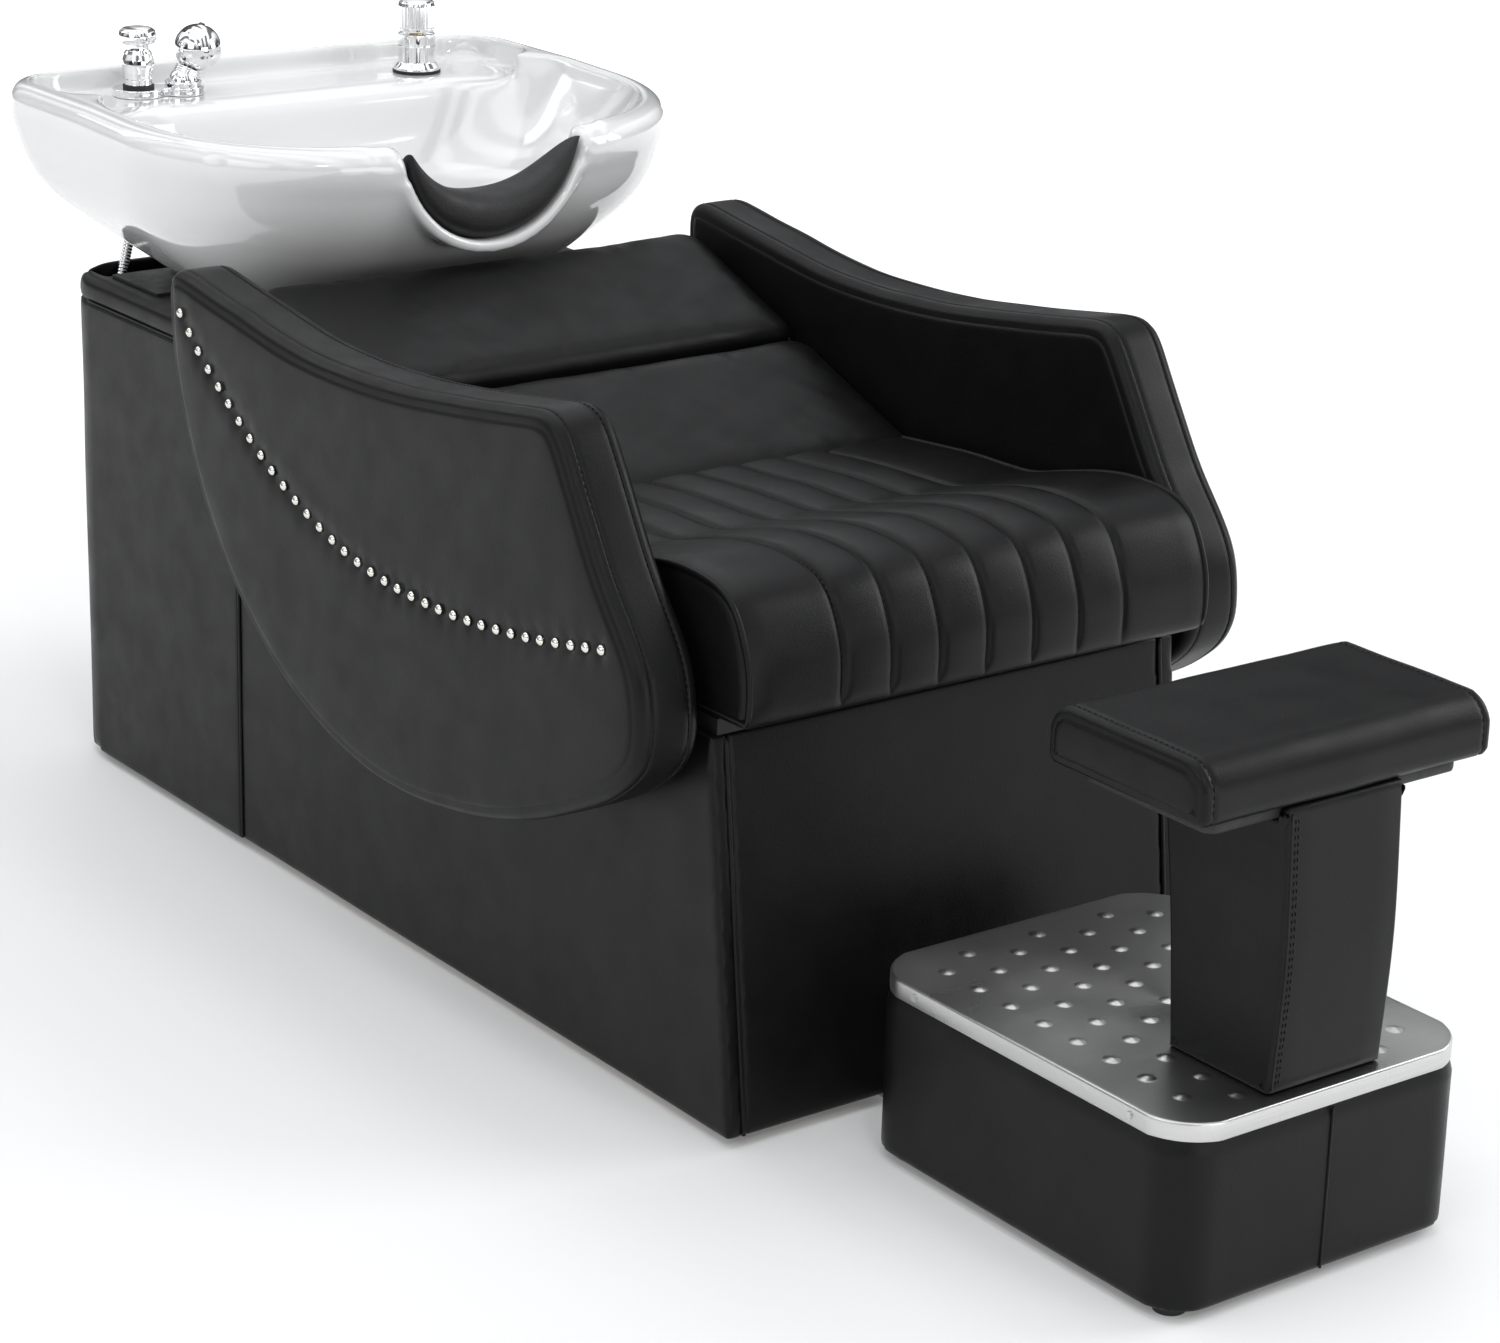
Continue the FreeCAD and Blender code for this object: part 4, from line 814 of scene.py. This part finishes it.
def stitches(name, line, out):
    """A row of thread stitches lying on a surface; out is the way the surface faces, one for each point."""
    line = np.asarray(line, float)
    out = np.broadcast_to(np.asarray(out, float), line.shape)
    gaps = np.concatenate([[0], np.cumsum(np.linalg.norm(np.diff(line, axis=0), axis=1))])
    points = []
    faces = []
    for start in np.arange(STITCH_GAP / 2, gaps[-1] - STITCH_GAP, STITCH_GAP):
        marks = np.linspace(start, start + STITCH_LENGTH, 5)
        spots = np.stack([np.interp(marks, gaps, line[:, k]) for k in range(3)], axis=1)
        up = np.array([np.interp(start + STITCH_LENGTH / 2, gaps, out[:, k]) for k in range(3)])
        up /= np.linalg.norm(up)
        across = np.cross(spots[-1] - spots[0], up)
        across /= np.linalg.norm(across)
        base = len(points)
        for spot, size, rise in zip(spots, (0.2, 0.42, 0.5, 0.42, 0.2), (-0.2, 0.3, 0.45, 0.3, -0.2)):
            for turn in turns(STITCH_SIDES):
                points.append(spot + up * (rise + size * math.sin(turn)) + across * size * math.cos(turn))
        faces += bands(len(marks), STITCH_SIDES, base)
    solid(name, points, faces, "upholstery")


# ------------------------------------------------------------------ footrest

def upright(u, v, w):
    """A slab's outline in depth and height, its thickness from side to side."""
    return w, u, v


LEG_PAD_SEAM = 150.0


def footrest():
    ring = rounded([(-455, 432.5), (-269, 432.5), (-269, 484.5), (-455, 484.5)], [7, 7, 20, 22], 6)

    def ends(uv, gap, side):
        return 2.5 * (1 - np.exp(-gap / 14)) - 1.2 * np.exp(-(gap / 1.8) ** 2) + 0.4 * ripple(uv, 60, side)

    def crown(uv, w):
        seamed = -1.2 * math.exp(-((abs(w) - LEG_PAD_SEAM) / 1.3) ** 2)
        uneven = 0.5 * ripple(np.column_stack([uv, np.full(len(uv), w)]), 85)
        return seamed + 1.0 * math.cos(w / 160) + uneven

    halves = (8, 24, 40, 56, 72, 88, 104, 120, 134, 144, 147, 149, 150, 151, 153)
    widths = sorted(sign * w for w in halves for sign in (-1, 1))
    pad = slab("leg_pad", ring, 322, upright, 8, ends, widths, crown, 7, (), ("footrest_pad",))
    normal = inward(ring)
    for name, side in (("left", -1), ("right", 1)):
        stitched("leg_pad_stitches_" + name, side, LEG_PAD_SEAM, ring - normal * 0.1, -normal)
    front = flow([(-452, 180.5), (-457.6, 299.5), (-452, 430.5)], 5)
    back = flow([(-306, 418.5), (-323, 299.5), (-334, 180.5)], 5)
    side = np.vstack([back[::-1], [(-442.6, 418.5), (-442.6, 430.5)], front[::-1]])[::-1]
    if area(side) < 0:
        side = side[::-1]
    side = even(np.vstack([side, side[:1]]), 5)[:-1]

    def flat(uv, gap, face):
        return 0.5 * ripple(uv, 90, 1.3) + 0.6 * (1 - np.exp(-gap / 15))

    pillar = slab("pillar_cover", side, 129, upright, 4, flat, 6, None, 9, (), ("footrest_pillar",))
    softened("pad_board", "footrest_pad_board", "black_board", "chair", 3, 2)
    dense = np.column_stack([np.full(len(front), -60.5), front + (0.2, 0)])[1:-1]
    tube("pillar_seam", dense, 1.3, "upholstery")
    stitches("pillar_stitches_front", dense + (4.2, -0.3, 0), (0, -1, 0))
    stitches("pillar_stitches_rear", dense + (7.4, -0.3, 0), (0, -1, 0))


TREAD_TOP = 180.0


def tread_plate():
    """A lipped stainless plate with two fields of pressed domes."""
    lowest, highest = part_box("footrest_plate")
    half = highest[0] / MM
    near, far = (lowest[1] - FRONT) / MM, (highest[1] - FRONT) / MM
    ring = rounded([(-half, near), (half, near), (half, far), (-half, far)], [42, 42, 42, 42], 5)
    normal = inward(ring)
    rows = [(1.5, 163.0), (0.3, 163.0), (0, 163.6), (0, 177.4), (0.35, 178.9), (1.2, 179.9),
            (2.4, TREAD_TOP), (6.0, TREAD_TOP)]
    points = []
    for inset, z in rows:
        points.extend(np.column_stack([ring + normal * inset, np.full(len(ring), z)]).tolist())
    faces = bands(len(rows), len(ring))
    spots = dimples()
    inner = ring + normal * rows[-1][0]
    grid = [(x, y) for x in np.arange(-156, 157, 13.0) for y in np.arange(near + 12, far - 8, 13.0)]
    grid = np.array(grid)
    grid = grid[within(grid, inner)]
    grid = grid[gap_to(grid, inner) > 6]
    grid = grid[nearest(grid, spots) > 12]
    dense = [spots]
    for radius in (2.2, 4.2, 5.8, 7.0, 8.0, 9.2):
        dense += around(spots, radius, 16)
    flat, triangles = triangulated(inner, np.vstack([grid] + dense))
    share = np.clip(nearest(flat, spots) / 8.0, 0, 1)
    rise = 2.0 * np.cos(share * HALF_PI) ** 1.2
    base = len(points)
    points.extend(np.column_stack([flat, TREAD_TOP + rise]).tolist())
    faces.extend(tuple(base + i for i in triangle) for triangle in triangles)
    plate = solid("tread_plate", points, faces, "tread_plate", nodes=("footrest_plate",))
    sheet = plate.modifiers.new("sheet", "SOLIDIFY")
    sheet.thickness = 1.2 * MM
    sheet.offset = -1
    baked(plate)


def dimples():
    """Dome centres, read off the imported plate: the vertices that stand above its flat top."""
    mesh = frame["nodes"]["footrest_plate"].data
    high = [vertex.co for vertex in mesh.vertices if vertex.co.z > (TREAD_TOP + 1.8) * MM]
    centres = []
    for point in high:
        spot = np.array((point.x / MM, (point.y - FRONT) / MM))
        for group in centres:
            if np.linalg.norm(group[0] - spot) < 8:
                group.append(spot)
                break
        else:
            centres.append([spot])
    return np.array([np.mean(group, axis=0) for group in centres])


# ------------------------------------------------------------------ basin and taps

def ring_points(half, front, rear, nose, corner):
    """An anticlockwise ring of points with nose radii in front and corner radii behind."""
    line = []
    for x, y, radius, start in ((half - nose, front + nose, nose, -90),
                                (half - corner, rear - corner, corner, 0),
                                (corner - half, rear - corner, corner, 90),
                                (nose - half, front + nose, nose, 180)):
        for angle in np.radians(np.linspace(start, start + 90, 26)):
            line.append((x + radius * math.cos(angle), y + radius * math.sin(angle)))
    return np.array(line)


def loft(rings):
    """A closed body through rings of (half, front, rear, nose, corner, z)."""
    points = []
    for *values, z in rings:
        line = ring_points(*values)
        points.extend(np.column_stack([line, np.full(len(line), z)]).tolist())
    count = len(points) // len(rings)
    return tool(points, bands(len(rings), count) + caps(len(rings), count))


def tool(points, faces):
    """A loose closed mesh that only shapes another piece."""
    item = bpy.data.objects.new("tool", closed_mesh("tool", points, faces, False))
    scene.collection.objects.link(item)
    return item


def rod(centre, radius, reach, axis):
    """A round tool from centre along Y or Z."""
    x, depth, z = centre
    sides = 96
    points = []
    for end in (0, reach):
        for turn in turns(sides):
            a, b = radius * math.cos(turn), radius * math.sin(turn)
            points.append((x + a, depth + end, z + b) if axis == "y" else (x + a, depth + b, z + end))
    return tool(points, bands(2, sides) + caps(2, sides))


def block(low, high):
    """A box tool between two corners."""
    points = [(x, depth, z) for x in (low[0], high[0]) for depth in (low[1], high[1])
              for z in (low[2], high[2])]
    return tool(points, [(0, 1, 3, 2), (4, 6, 7, 5), (0, 4, 5, 1), (2, 3, 7, 6), (0, 2, 6, 4), (1, 5, 7, 3)])


def combine(item, other, operation):
    """Joins another closed mesh to an item, cuts it away or keeps what both share."""
    step = item.modifiers.new("step", "BOOLEAN")
    step.operation = operation
    step.solver = "EXACT"
    step.object = other
    baked(item)
    bpy.data.objects.remove(other)
    return item


def relax(item, weight, rounds):
    """Eases vertices towards their neighbours' mean, each by its own weight."""
    edges = np.empty(len(item.data.edges) * 2, dtype=int)
    item.data.edges.foreach_get("vertices", edges)
    a, b = edges.reshape(-1, 2).T
    spots = vertices(item)
    count = len(spots)
    number = np.bincount(a, minlength=count) + np.bincount(b, minlength=count)
    for _ in range(rounds):
        mean = np.empty_like(spots)
        for axis in range(3):
            mean[:, axis] = np.bincount(a, spots[b, axis], count) + np.bincount(b, spots[a, axis], count)
        mean /= np.maximum(number, 1)[:, None]
        spots = spots + weight[:, None] * (mean - spots)
    set_vertices(item, spots)


RIM = {"half": 316.0, "front": 795.0, "rear": 1320.0, "nose": 220.0, "corner": 80.0, "top": 750.0,
       "foot": 562.0}
CERAMIC = 11
NOTCH_LEVEL = 737
NOTCH_RADIUS = 103
TAP_HOLES = {"mixer_body": 17.0, "vacuum_breaker_body": 11.0, "sprayer_holder": 11.0}


def skirt(inset, roll):
    """The basin's outside as rings from its rolled rim down to its open foot."""
    shares = [(0.0, 0, 0, 0), (0.25, 2, 4, 4), (0.6, 26, 38, 34), (1.0, 108, 128, 140)]
    dense = flow([(100 * share, side, fore, aft) for share, side, fore, aft in shares], 0.5)
    rings = []
    levels = [(roll * (1 - math.sin(angle)), RIM["top"] - roll * (1 - math.cos(angle)))
              for angle in np.radians(np.linspace(0, 90, 8))] if roll else [(0, RIM["top"] - inset)]
    levels += [(0, z) for z in np.linspace(levels[-1][1], RIM["foot"] - (1 if inset else 0), 20)[1:]]
    for extra, z in levels:
        share = 100 * (RIM["top"] - z) / (RIM["top"] - RIM["foot"])
        side, fore, aft = (np.interp(share, dense[:, 0], dense[:, k]) for k in (1, 2, 3))
        add = inset + extra
        rings.append((RIM["half"] - side - add, RIM["front"] + fore + add, RIM["rear"] - aft - add,
                      RIM["nose"] - 0.9 * side - add, RIM["corner"] + 0.2 * side - add, z))
    return rings


def basin():
    """Ceramic: a skirt and a bowl joined, the notch, deck and holes cut, then all of it eased."""
    bowl_line = flow([(286, 829, 1187, 180, 100, 752), (277, 836, 1182, 176, 100, 726),
                      (228, 887, 1155, 150, 95, 656), (160, 938, 1122, 110, 76, 622),
                      (62, 973, 1097, 60, 60, 604)], 12)
    shell_line = [(half + CERAMIC, low - CERAMIC, high + CERAMIC, nose + CERAMIC, corner + CERAMIC, z)
                  for half, low, high, nose, corner, z in bowl_line]
    shell_line[-1] = (*shell_line[-1][:5], 593)
    hollow = [ring for ring in skirt(CERAMIC, 0) if ring[5] < 712]
    body = loft(skirt(0, 20))
    body = combine(body, loft(hollow), "DIFFERENCE")
    body = combine(body, block((-200, 1130, 540), (200, 1430, 711)), "DIFFERENCE")
    shell = combine(loft(shell_line), loft(skirt(1, 20)), "INTERSECT")
    body = combine(body, shell, "UNION")
    lip = combine(rod((0, 798, NOTCH_LEVEL), 116, 56, "y"), block((-350, 700, 500), (350, 900, NOTCH_LEVEL)),
                  "INTERSECT")
    body = combine(body, lip, "UNION")
    body = combine(body, loft(bowl_line), "DIFFERENCE")
    pocket = loft([(288, 1151, 1298, 60, 60, 722), (291, 1151, 1303, 60, 60, 752)])
    body = combine(body, pocket, "DIFFERENCE")
    body = combine(body, rod((0, 770, NOTCH_LEVEL), NOTCH_RADIUS, 106, "y"), "DIFFERENCE")
    notch = block((-NOTCH_RADIUS, 770, NOTCH_LEVEL), (NOTCH_RADIUS, 876, 800))
    body = combine(body, notch, "DIFFERENCE")
    body = combine(body, rod((0, 1035, 560), 24, 80, "z"), "DIFFERENCE")
    for name, radius in TAP_HOLES.items():
        body = combine(body, rod((*spot_of(name), 690), radius, 60, "z"), "DIFFERENCE")
    bowl = joined("basin_bowl", body.data.copy(), "ceramic_glaze", "basin_unit", ("basin",))
    bpy.data.objects.remove(body)
    skin = bowl.modifiers.new("skin", "REMESH")
    skin.mode = "VOXEL"
    skin.voxel_size = 3.0 * MM
    baked(bowl)
    everywhere = np.full(len(bowl.data.vertices), 0.5)
    relax(bowl, everywhere, 10)
    spots = vertices(bowl)
    across = np.abs(spots[:, 0] / MM)
    depth = (spots[:, 1] - FRONT) / MM
    height = spots[:, 2] / MM
    inside = (height < 742) & (height > 640) & (across < 280) & (depth > 880) & (depth < 1290)
    taps_clear = np.ones(len(spots))
    for name in TAP_HOLES:
        x, along = spot_of(name)
        taps_clear *= np.hypot(spots[:, 0] / MM - x, depth - along) > 27
    relax(bowl, 0.5 * inside * taps_clear, 70)
    shoulder = (np.abs(across - 112) < 30) & (depth < 870) & (height > 706)
    relax(bowl, 0.5 * shoulder, 50)
    relax(bowl, everywhere, 4)
    spots = vertices(bowl)
    depth = (spots[:, 1] - FRONT) / MM
    height = spots[:, 2] / MM
    spots[:, 2] -= MM * 9 * np.clip((1110 - depth) / 300, 0, 1) * np.clip((height - 690) / 50, 0, 1)
    set_vertices(bowl, spots)


def neck_pad():
    """A rubber crescent: a rounded section, thick in the middle of the notch and thin at both tips."""
    points = []
    sides = 44
    marks = np.concatenate([[-1, -0.995, -0.98], np.linspace(-0.96, 0.96, 61), [0.98, 0.995, 1]])
    for mark in marks:
        angle = mark * math.radians(88)
        taper = math.sqrt(max(0.0, 1 - abs(mark) ** 9)) + 0.02
        thick = (7 + 39 * math.cos(angle) ** 0.9) * taper
        deep = (24 + 36 * math.cos(angle) ** 0.7) * taper
        for turn in turns(sides):
            a = math.copysign(abs(math.cos(turn)) ** 0.72, math.cos(turn))
            b = math.copysign(abs(math.sin(turn)) ** 0.72, math.sin(turn))
            radius = 102.6 - thick / 2 + a * thick / 2 - 2.0 * math.cos(angle) * (1 - b * b) * (a < 0)
            points.append((radius * math.sin(angle), 797.5 + deep / 2 + b * deep / 2,
                           NOTCH_LEVEL - radius * math.cos(angle)))
    faces = bands(len(marks), sides) + caps(len(marks), sides)
    pad = solid("neck_pad", points, faces, "gel_rubber", "basin_unit", ("neck_rest",))


def spot_of(node_name):
    """Where the middle of a CAD node stands, as millimetres across and deep."""
    low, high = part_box(node_name)
    return ((low[0] + high[0]) / 2 / MM, ((low[1] + high[1]) / 2 - FRONT) / MM)


def rim_of(profile, size):
    """Rounds a lathe profile's corners so that chrome edges catch the light."""
    line = []
    for before, corner, after in zip(profile, profile[1:], profile[2:]):
        before, corner, after = (np.array(point, float) for point in (before, corner, after))
        back, ahead = before - corner, after - corner
        reach = min(size, 0.4 * np.linalg.norm(back), 0.4 * np.linalg.norm(ahead))
        start = corner + back / np.linalg.norm(back) * reach
        end = corner + ahead / np.linalg.norm(ahead) * reach
        for t in np.linspace(0, 1, 6):
            line.append(tuple((1 - t) ** 2 * start + 2 * t * (1 - t) * corner + t * t * end))
    return [profile[0]] + line + [profile[-1]]


def taps():
    """Chrome shells of the mixer and the vacuum breaker, and the plate, ribs and ring by the sprayer."""
    mixer = spot_of("mixer_body")
    body = rim_of([(0.1, 672), (16.8, 672), (16.8, 725), (26.5, 725), (26.5, 727.6), (23.5, 731),
                   (20.8, 734), (20.8, 752), (20.0, 752.6), (20.0, 753.4), (20.8, 754), (20.8, 765.6),
                   (8.2, 766), (8.2, 752), (0.1, 752)], 0.8)
    lathe("mixer_shell", body, mixer, "basin_unit", ("mixer_body",))

    def knurl(turn, z):
        """Flutes round the knob's grip, fading out below its top edge."""
        return 1 + (772 < z < 798) * 0.028 * (abs(math.sin(turn * 14)) - 1)

    knob = rim_of([(8, 768), (19.6, 768), (20.6, 769.4), (20.6, 771.8), (20.9, 773), (20.9, 784),
                   (20.9, 797), (19.8, 800.6), (17.5, 802.8), (9, 804), (0.1, 804)], 0.7)
    lathe("mixer_cap", knob, mixer, "mixer_handle", ("mixer_knob",), 168, knurl)

    breaker = spot_of("vacuum_breaker_body")

    def facets(turn, z):
        """Eight flats on the flaring part of the body."""
        if not 741 < z < 768:
            return 1
        flat = math.pi / 4
        inside = (turn % flat) - flat / 2
        return 0.5 + 0.5 * math.cos(flat / 2) / math.cos(inside)

    neck = rim_of([(0.1, 690), (10.9, 690), (10.9, 734), (15, 734), (15.2, 738), (15.5, 741), (16.4, 748),
                   (18.4, 757), (17.8, 762), (15.4, 768), (12.8, 772), (12.5, 776), (12.5, 781),
                   (9, 781), (9, 765), (0.1, 765)], 0.8)
    lathe("breaker_shell", neck, breaker, "basin_unit", ("vacuum_breaker_body",), 96, facets)
    cap = rim_of([(12.7, 779), (17.2, 779), (19.8, 781), (20.5, 784), (20.5, 788.5), (19.3, 792.6),
                  (15.5, 795.6), (8, 797), (0.1, 797)], 1.2)
    lathe("breaker_cap", cap, breaker, "basin_unit", ("vacuum_breaker_cap",), 72)
    softened("bridge_plate", "deck_plate", "tap_chrome", "basin_unit", 0.9, 5)

    lean = math.radians(28)
    way = np.array((math.sin(lean), 0, math.cos(lean)))
    foot = np.array((*spot_of("sprayer_holder"), 735.0))
    across = np.array((math.cos(lean), 0, -math.sin(lean)))
    for number, rise in enumerate((9.0, 11.6, 14.2)):
        ring = [foot + way * rise + 13.7 * (math.cos(turn) * across + math.sin(turn) * np.array((0, 1, 0)))
                for turn in turns(48)]
        tube("collar_rib_%d" % number, ring, 1.1, "tap_chrome", "basin_unit", 10, True)
    base = [(foot[0] + 18.8 * math.cos(turn), foot[1] + 18.8 * math.sin(turn), 735.2) for turn in turns(56)]
    tube("socket_ring", base, 1.5, "tap_chrome", "basin_unit", 10, True)


HOSE_POINTS = [(-114, 1248, 690), (-114, 1248, 640), (-103, 1224, 570), (-92, 1208, 480),
               (-92, 1188, 400), (-92, 1180, 341), (-133.01, 1176, 300), (-190.99, 1176, 300),
               (-232, 1180, 341), (-232, 1188, 400), (-232, 1208, 480), (-197, 1224, 570),
               (-162, 1260, 640), (-162, 1260, 690)]


def hose():
    """A corrugated steel hose on the smooth line of its route."""
    data = bpy.data.curves.new("hose_route", "CURVE")
    data.dimensions = "3D"
    spline = data.splines.new("NURBS")
    spline.points.add(len(HOSE_POINTS) - 1)
    for point, spot in zip(spline.points, HOSE_POINTS):
        point.co = (*at(*spot), 1)
    spline.order_u = 3
    spline.use_endpoint_u = True
    spline.resolution_u = 24
    holder = bpy.data.objects.new("hose_route", data)
    scene.collection.objects.link(holder)
    mesh = bpy.data.meshes.new_from_object(holder)
    path = [vertex.co.copy() for vertex in mesh.vertices]
    bpy.data.objects.remove(holder)
    line = np.array([tuple(point) for point in path])
    line[:, 1] -= FRONT
    line = even(line / MM, 0.9)
    tubing = tube("sprayer_hose", line, 6.0, "hose_metal", "basin_unit", 20, False,
                  lambda along: 5.55 + 0.45 * math.cos(along * 2 * math.pi / 3.6))
    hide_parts("spray_hose")


arms()
nails()
seat()
back_cushions()
covers()
footrest()
tread_plate()
basin()
neck_pad()
taps()
hose()


# ------------------------------------------------------------ camera and stage

def photo_camera():
    data = bpy.data.cameras.new("photo_camera")
    data.sensor_fit = "HORIZONTAL"
    data.sensor_width = 36
    data.lens = 92.72
    data.clip_end = 60
    item = bpy.data.objects.new("photo_camera", data)
    scene.collection.objects.link(item)
    item.location = (-2.1274, -2.8963, 1.5165)
    item.rotation_euler = Euler([math.radians(angle) for angle in (70.962, -1.588, -36.542)], "XYZ")
    scene.camera = item


def softbox(name, spot, aim, wide, high, power):
    """An area light at spot, turned to aim; sizes in metres and power in watts."""
    data = bpy.data.lights.new(name, "AREA")
    data.shape = "RECTANGLE"
    data.size = wide
    data.size_y = high
    data.energy = power
    item = bpy.data.objects.new(name, data)
    scene.collection.objects.link(item)
    item.location = spot
    item.rotation_euler = (Vector(aim) - Vector(spot)).to_track_quat("-Z", "Y").to_euler()


def studio():
    bpy.ops.mesh.primitive_plane_add(size=40)
    floor = bpy.context.object
    floor.name = "studio_floor"
    material, tree, principled, place = shader("pale_floor", (0.86, 0.86, 0.86), 0.6)
    cloud = noise(tree, place.outputs["Object"], 3.0)
    tint(tree, principled, cloud, (0.85, 0.85, 0.852), (0.87, 0.87, 0.87))
    # Painted light: the floor glows white. The emission rises from 0.10 within 1.2 m of the middle to 0.66
    # at 5 m, so the floor reads white far off and stays greyer, like painted shade, near the chair.
    reach = node(tree, "VectorMath", operation="LENGTH")
    tree.links.new(place.outputs["Object"], reach.inputs[0])
    painted_glow = ranged(tree, reach.outputs["Value"], 1.2, 5.0, 0.10, 0.66)
    principled.inputs["Emission Color"].default_value = (1, 1, 1, 1)
    tree.links.new(painted_glow, principled.inputs["Emission Strength"])
    floor.data.materials.append(material)
    world = bpy.data.worlds.new("studio")
    scene.world = world
    world.use_nodes = True
    tree = world.node_tree
    backdrop = tree.nodes["Background"]
    backdrop.inputs["Color"].default_value = (0.96, 0.98, 1.0, 1)
    direction = node(tree, "TexCoord")
    split = node(tree, "SeparateXYZ")
    tree.links.new(direction.outputs["Generated"], split.inputs["Vector"])
    rise = ranged(tree, split.outputs["Z"], 0.05, 0.60, 0.10, 0.85)
    waves = node(tree, "TexWave", Scale=0.9, Distortion=2.5)
    tree.links.new(direction.outputs["Generated"], waves.inputs["Vector"])
    panes = ranged(tree, waves.outputs["Fac"], 0.25, 0.75, 0.25, 1.75)
    both = node(tree, "Math", operation="MULTIPLY")
    tree.links.new(rise, both.inputs[0])
    tree.links.new(panes, both.inputs[1])
    tree.links.new(both.outputs["Value"], backdrop.inputs["Strength"])
    scene.view_settings.view_transform = "Standard"
    for lamp in (("overhead", (-0.3, 0.4, 3.2), (0, 0, 0.4), 3.4, 3.0, 28),
                 ("right_window", (3.0, -1.6, 1.9), (0, 0, 0.4), 1.6, 2.4, 50),
                 ("front_fill", (0.3, -3.8, 0.9), (0, 0.6, 0.6), 2.6, 1.2, 24),
                 ("rim_strip", (-1.2, 2.6, 2.4), (0, 0.6, 0.7), 0.5, 1.6, 7),
                 ("front_sparkle", (-1.6, -3.4, 2.9), (0, 0.4, 0.7), 0.45, 0.45, 14),
                 ("left_fill", (-3.4, -1.0, 2.0), (0, 0, 0.5), 2.2, 2.2, 20)):
        softbox(*lamp)


photo_camera()
studio()
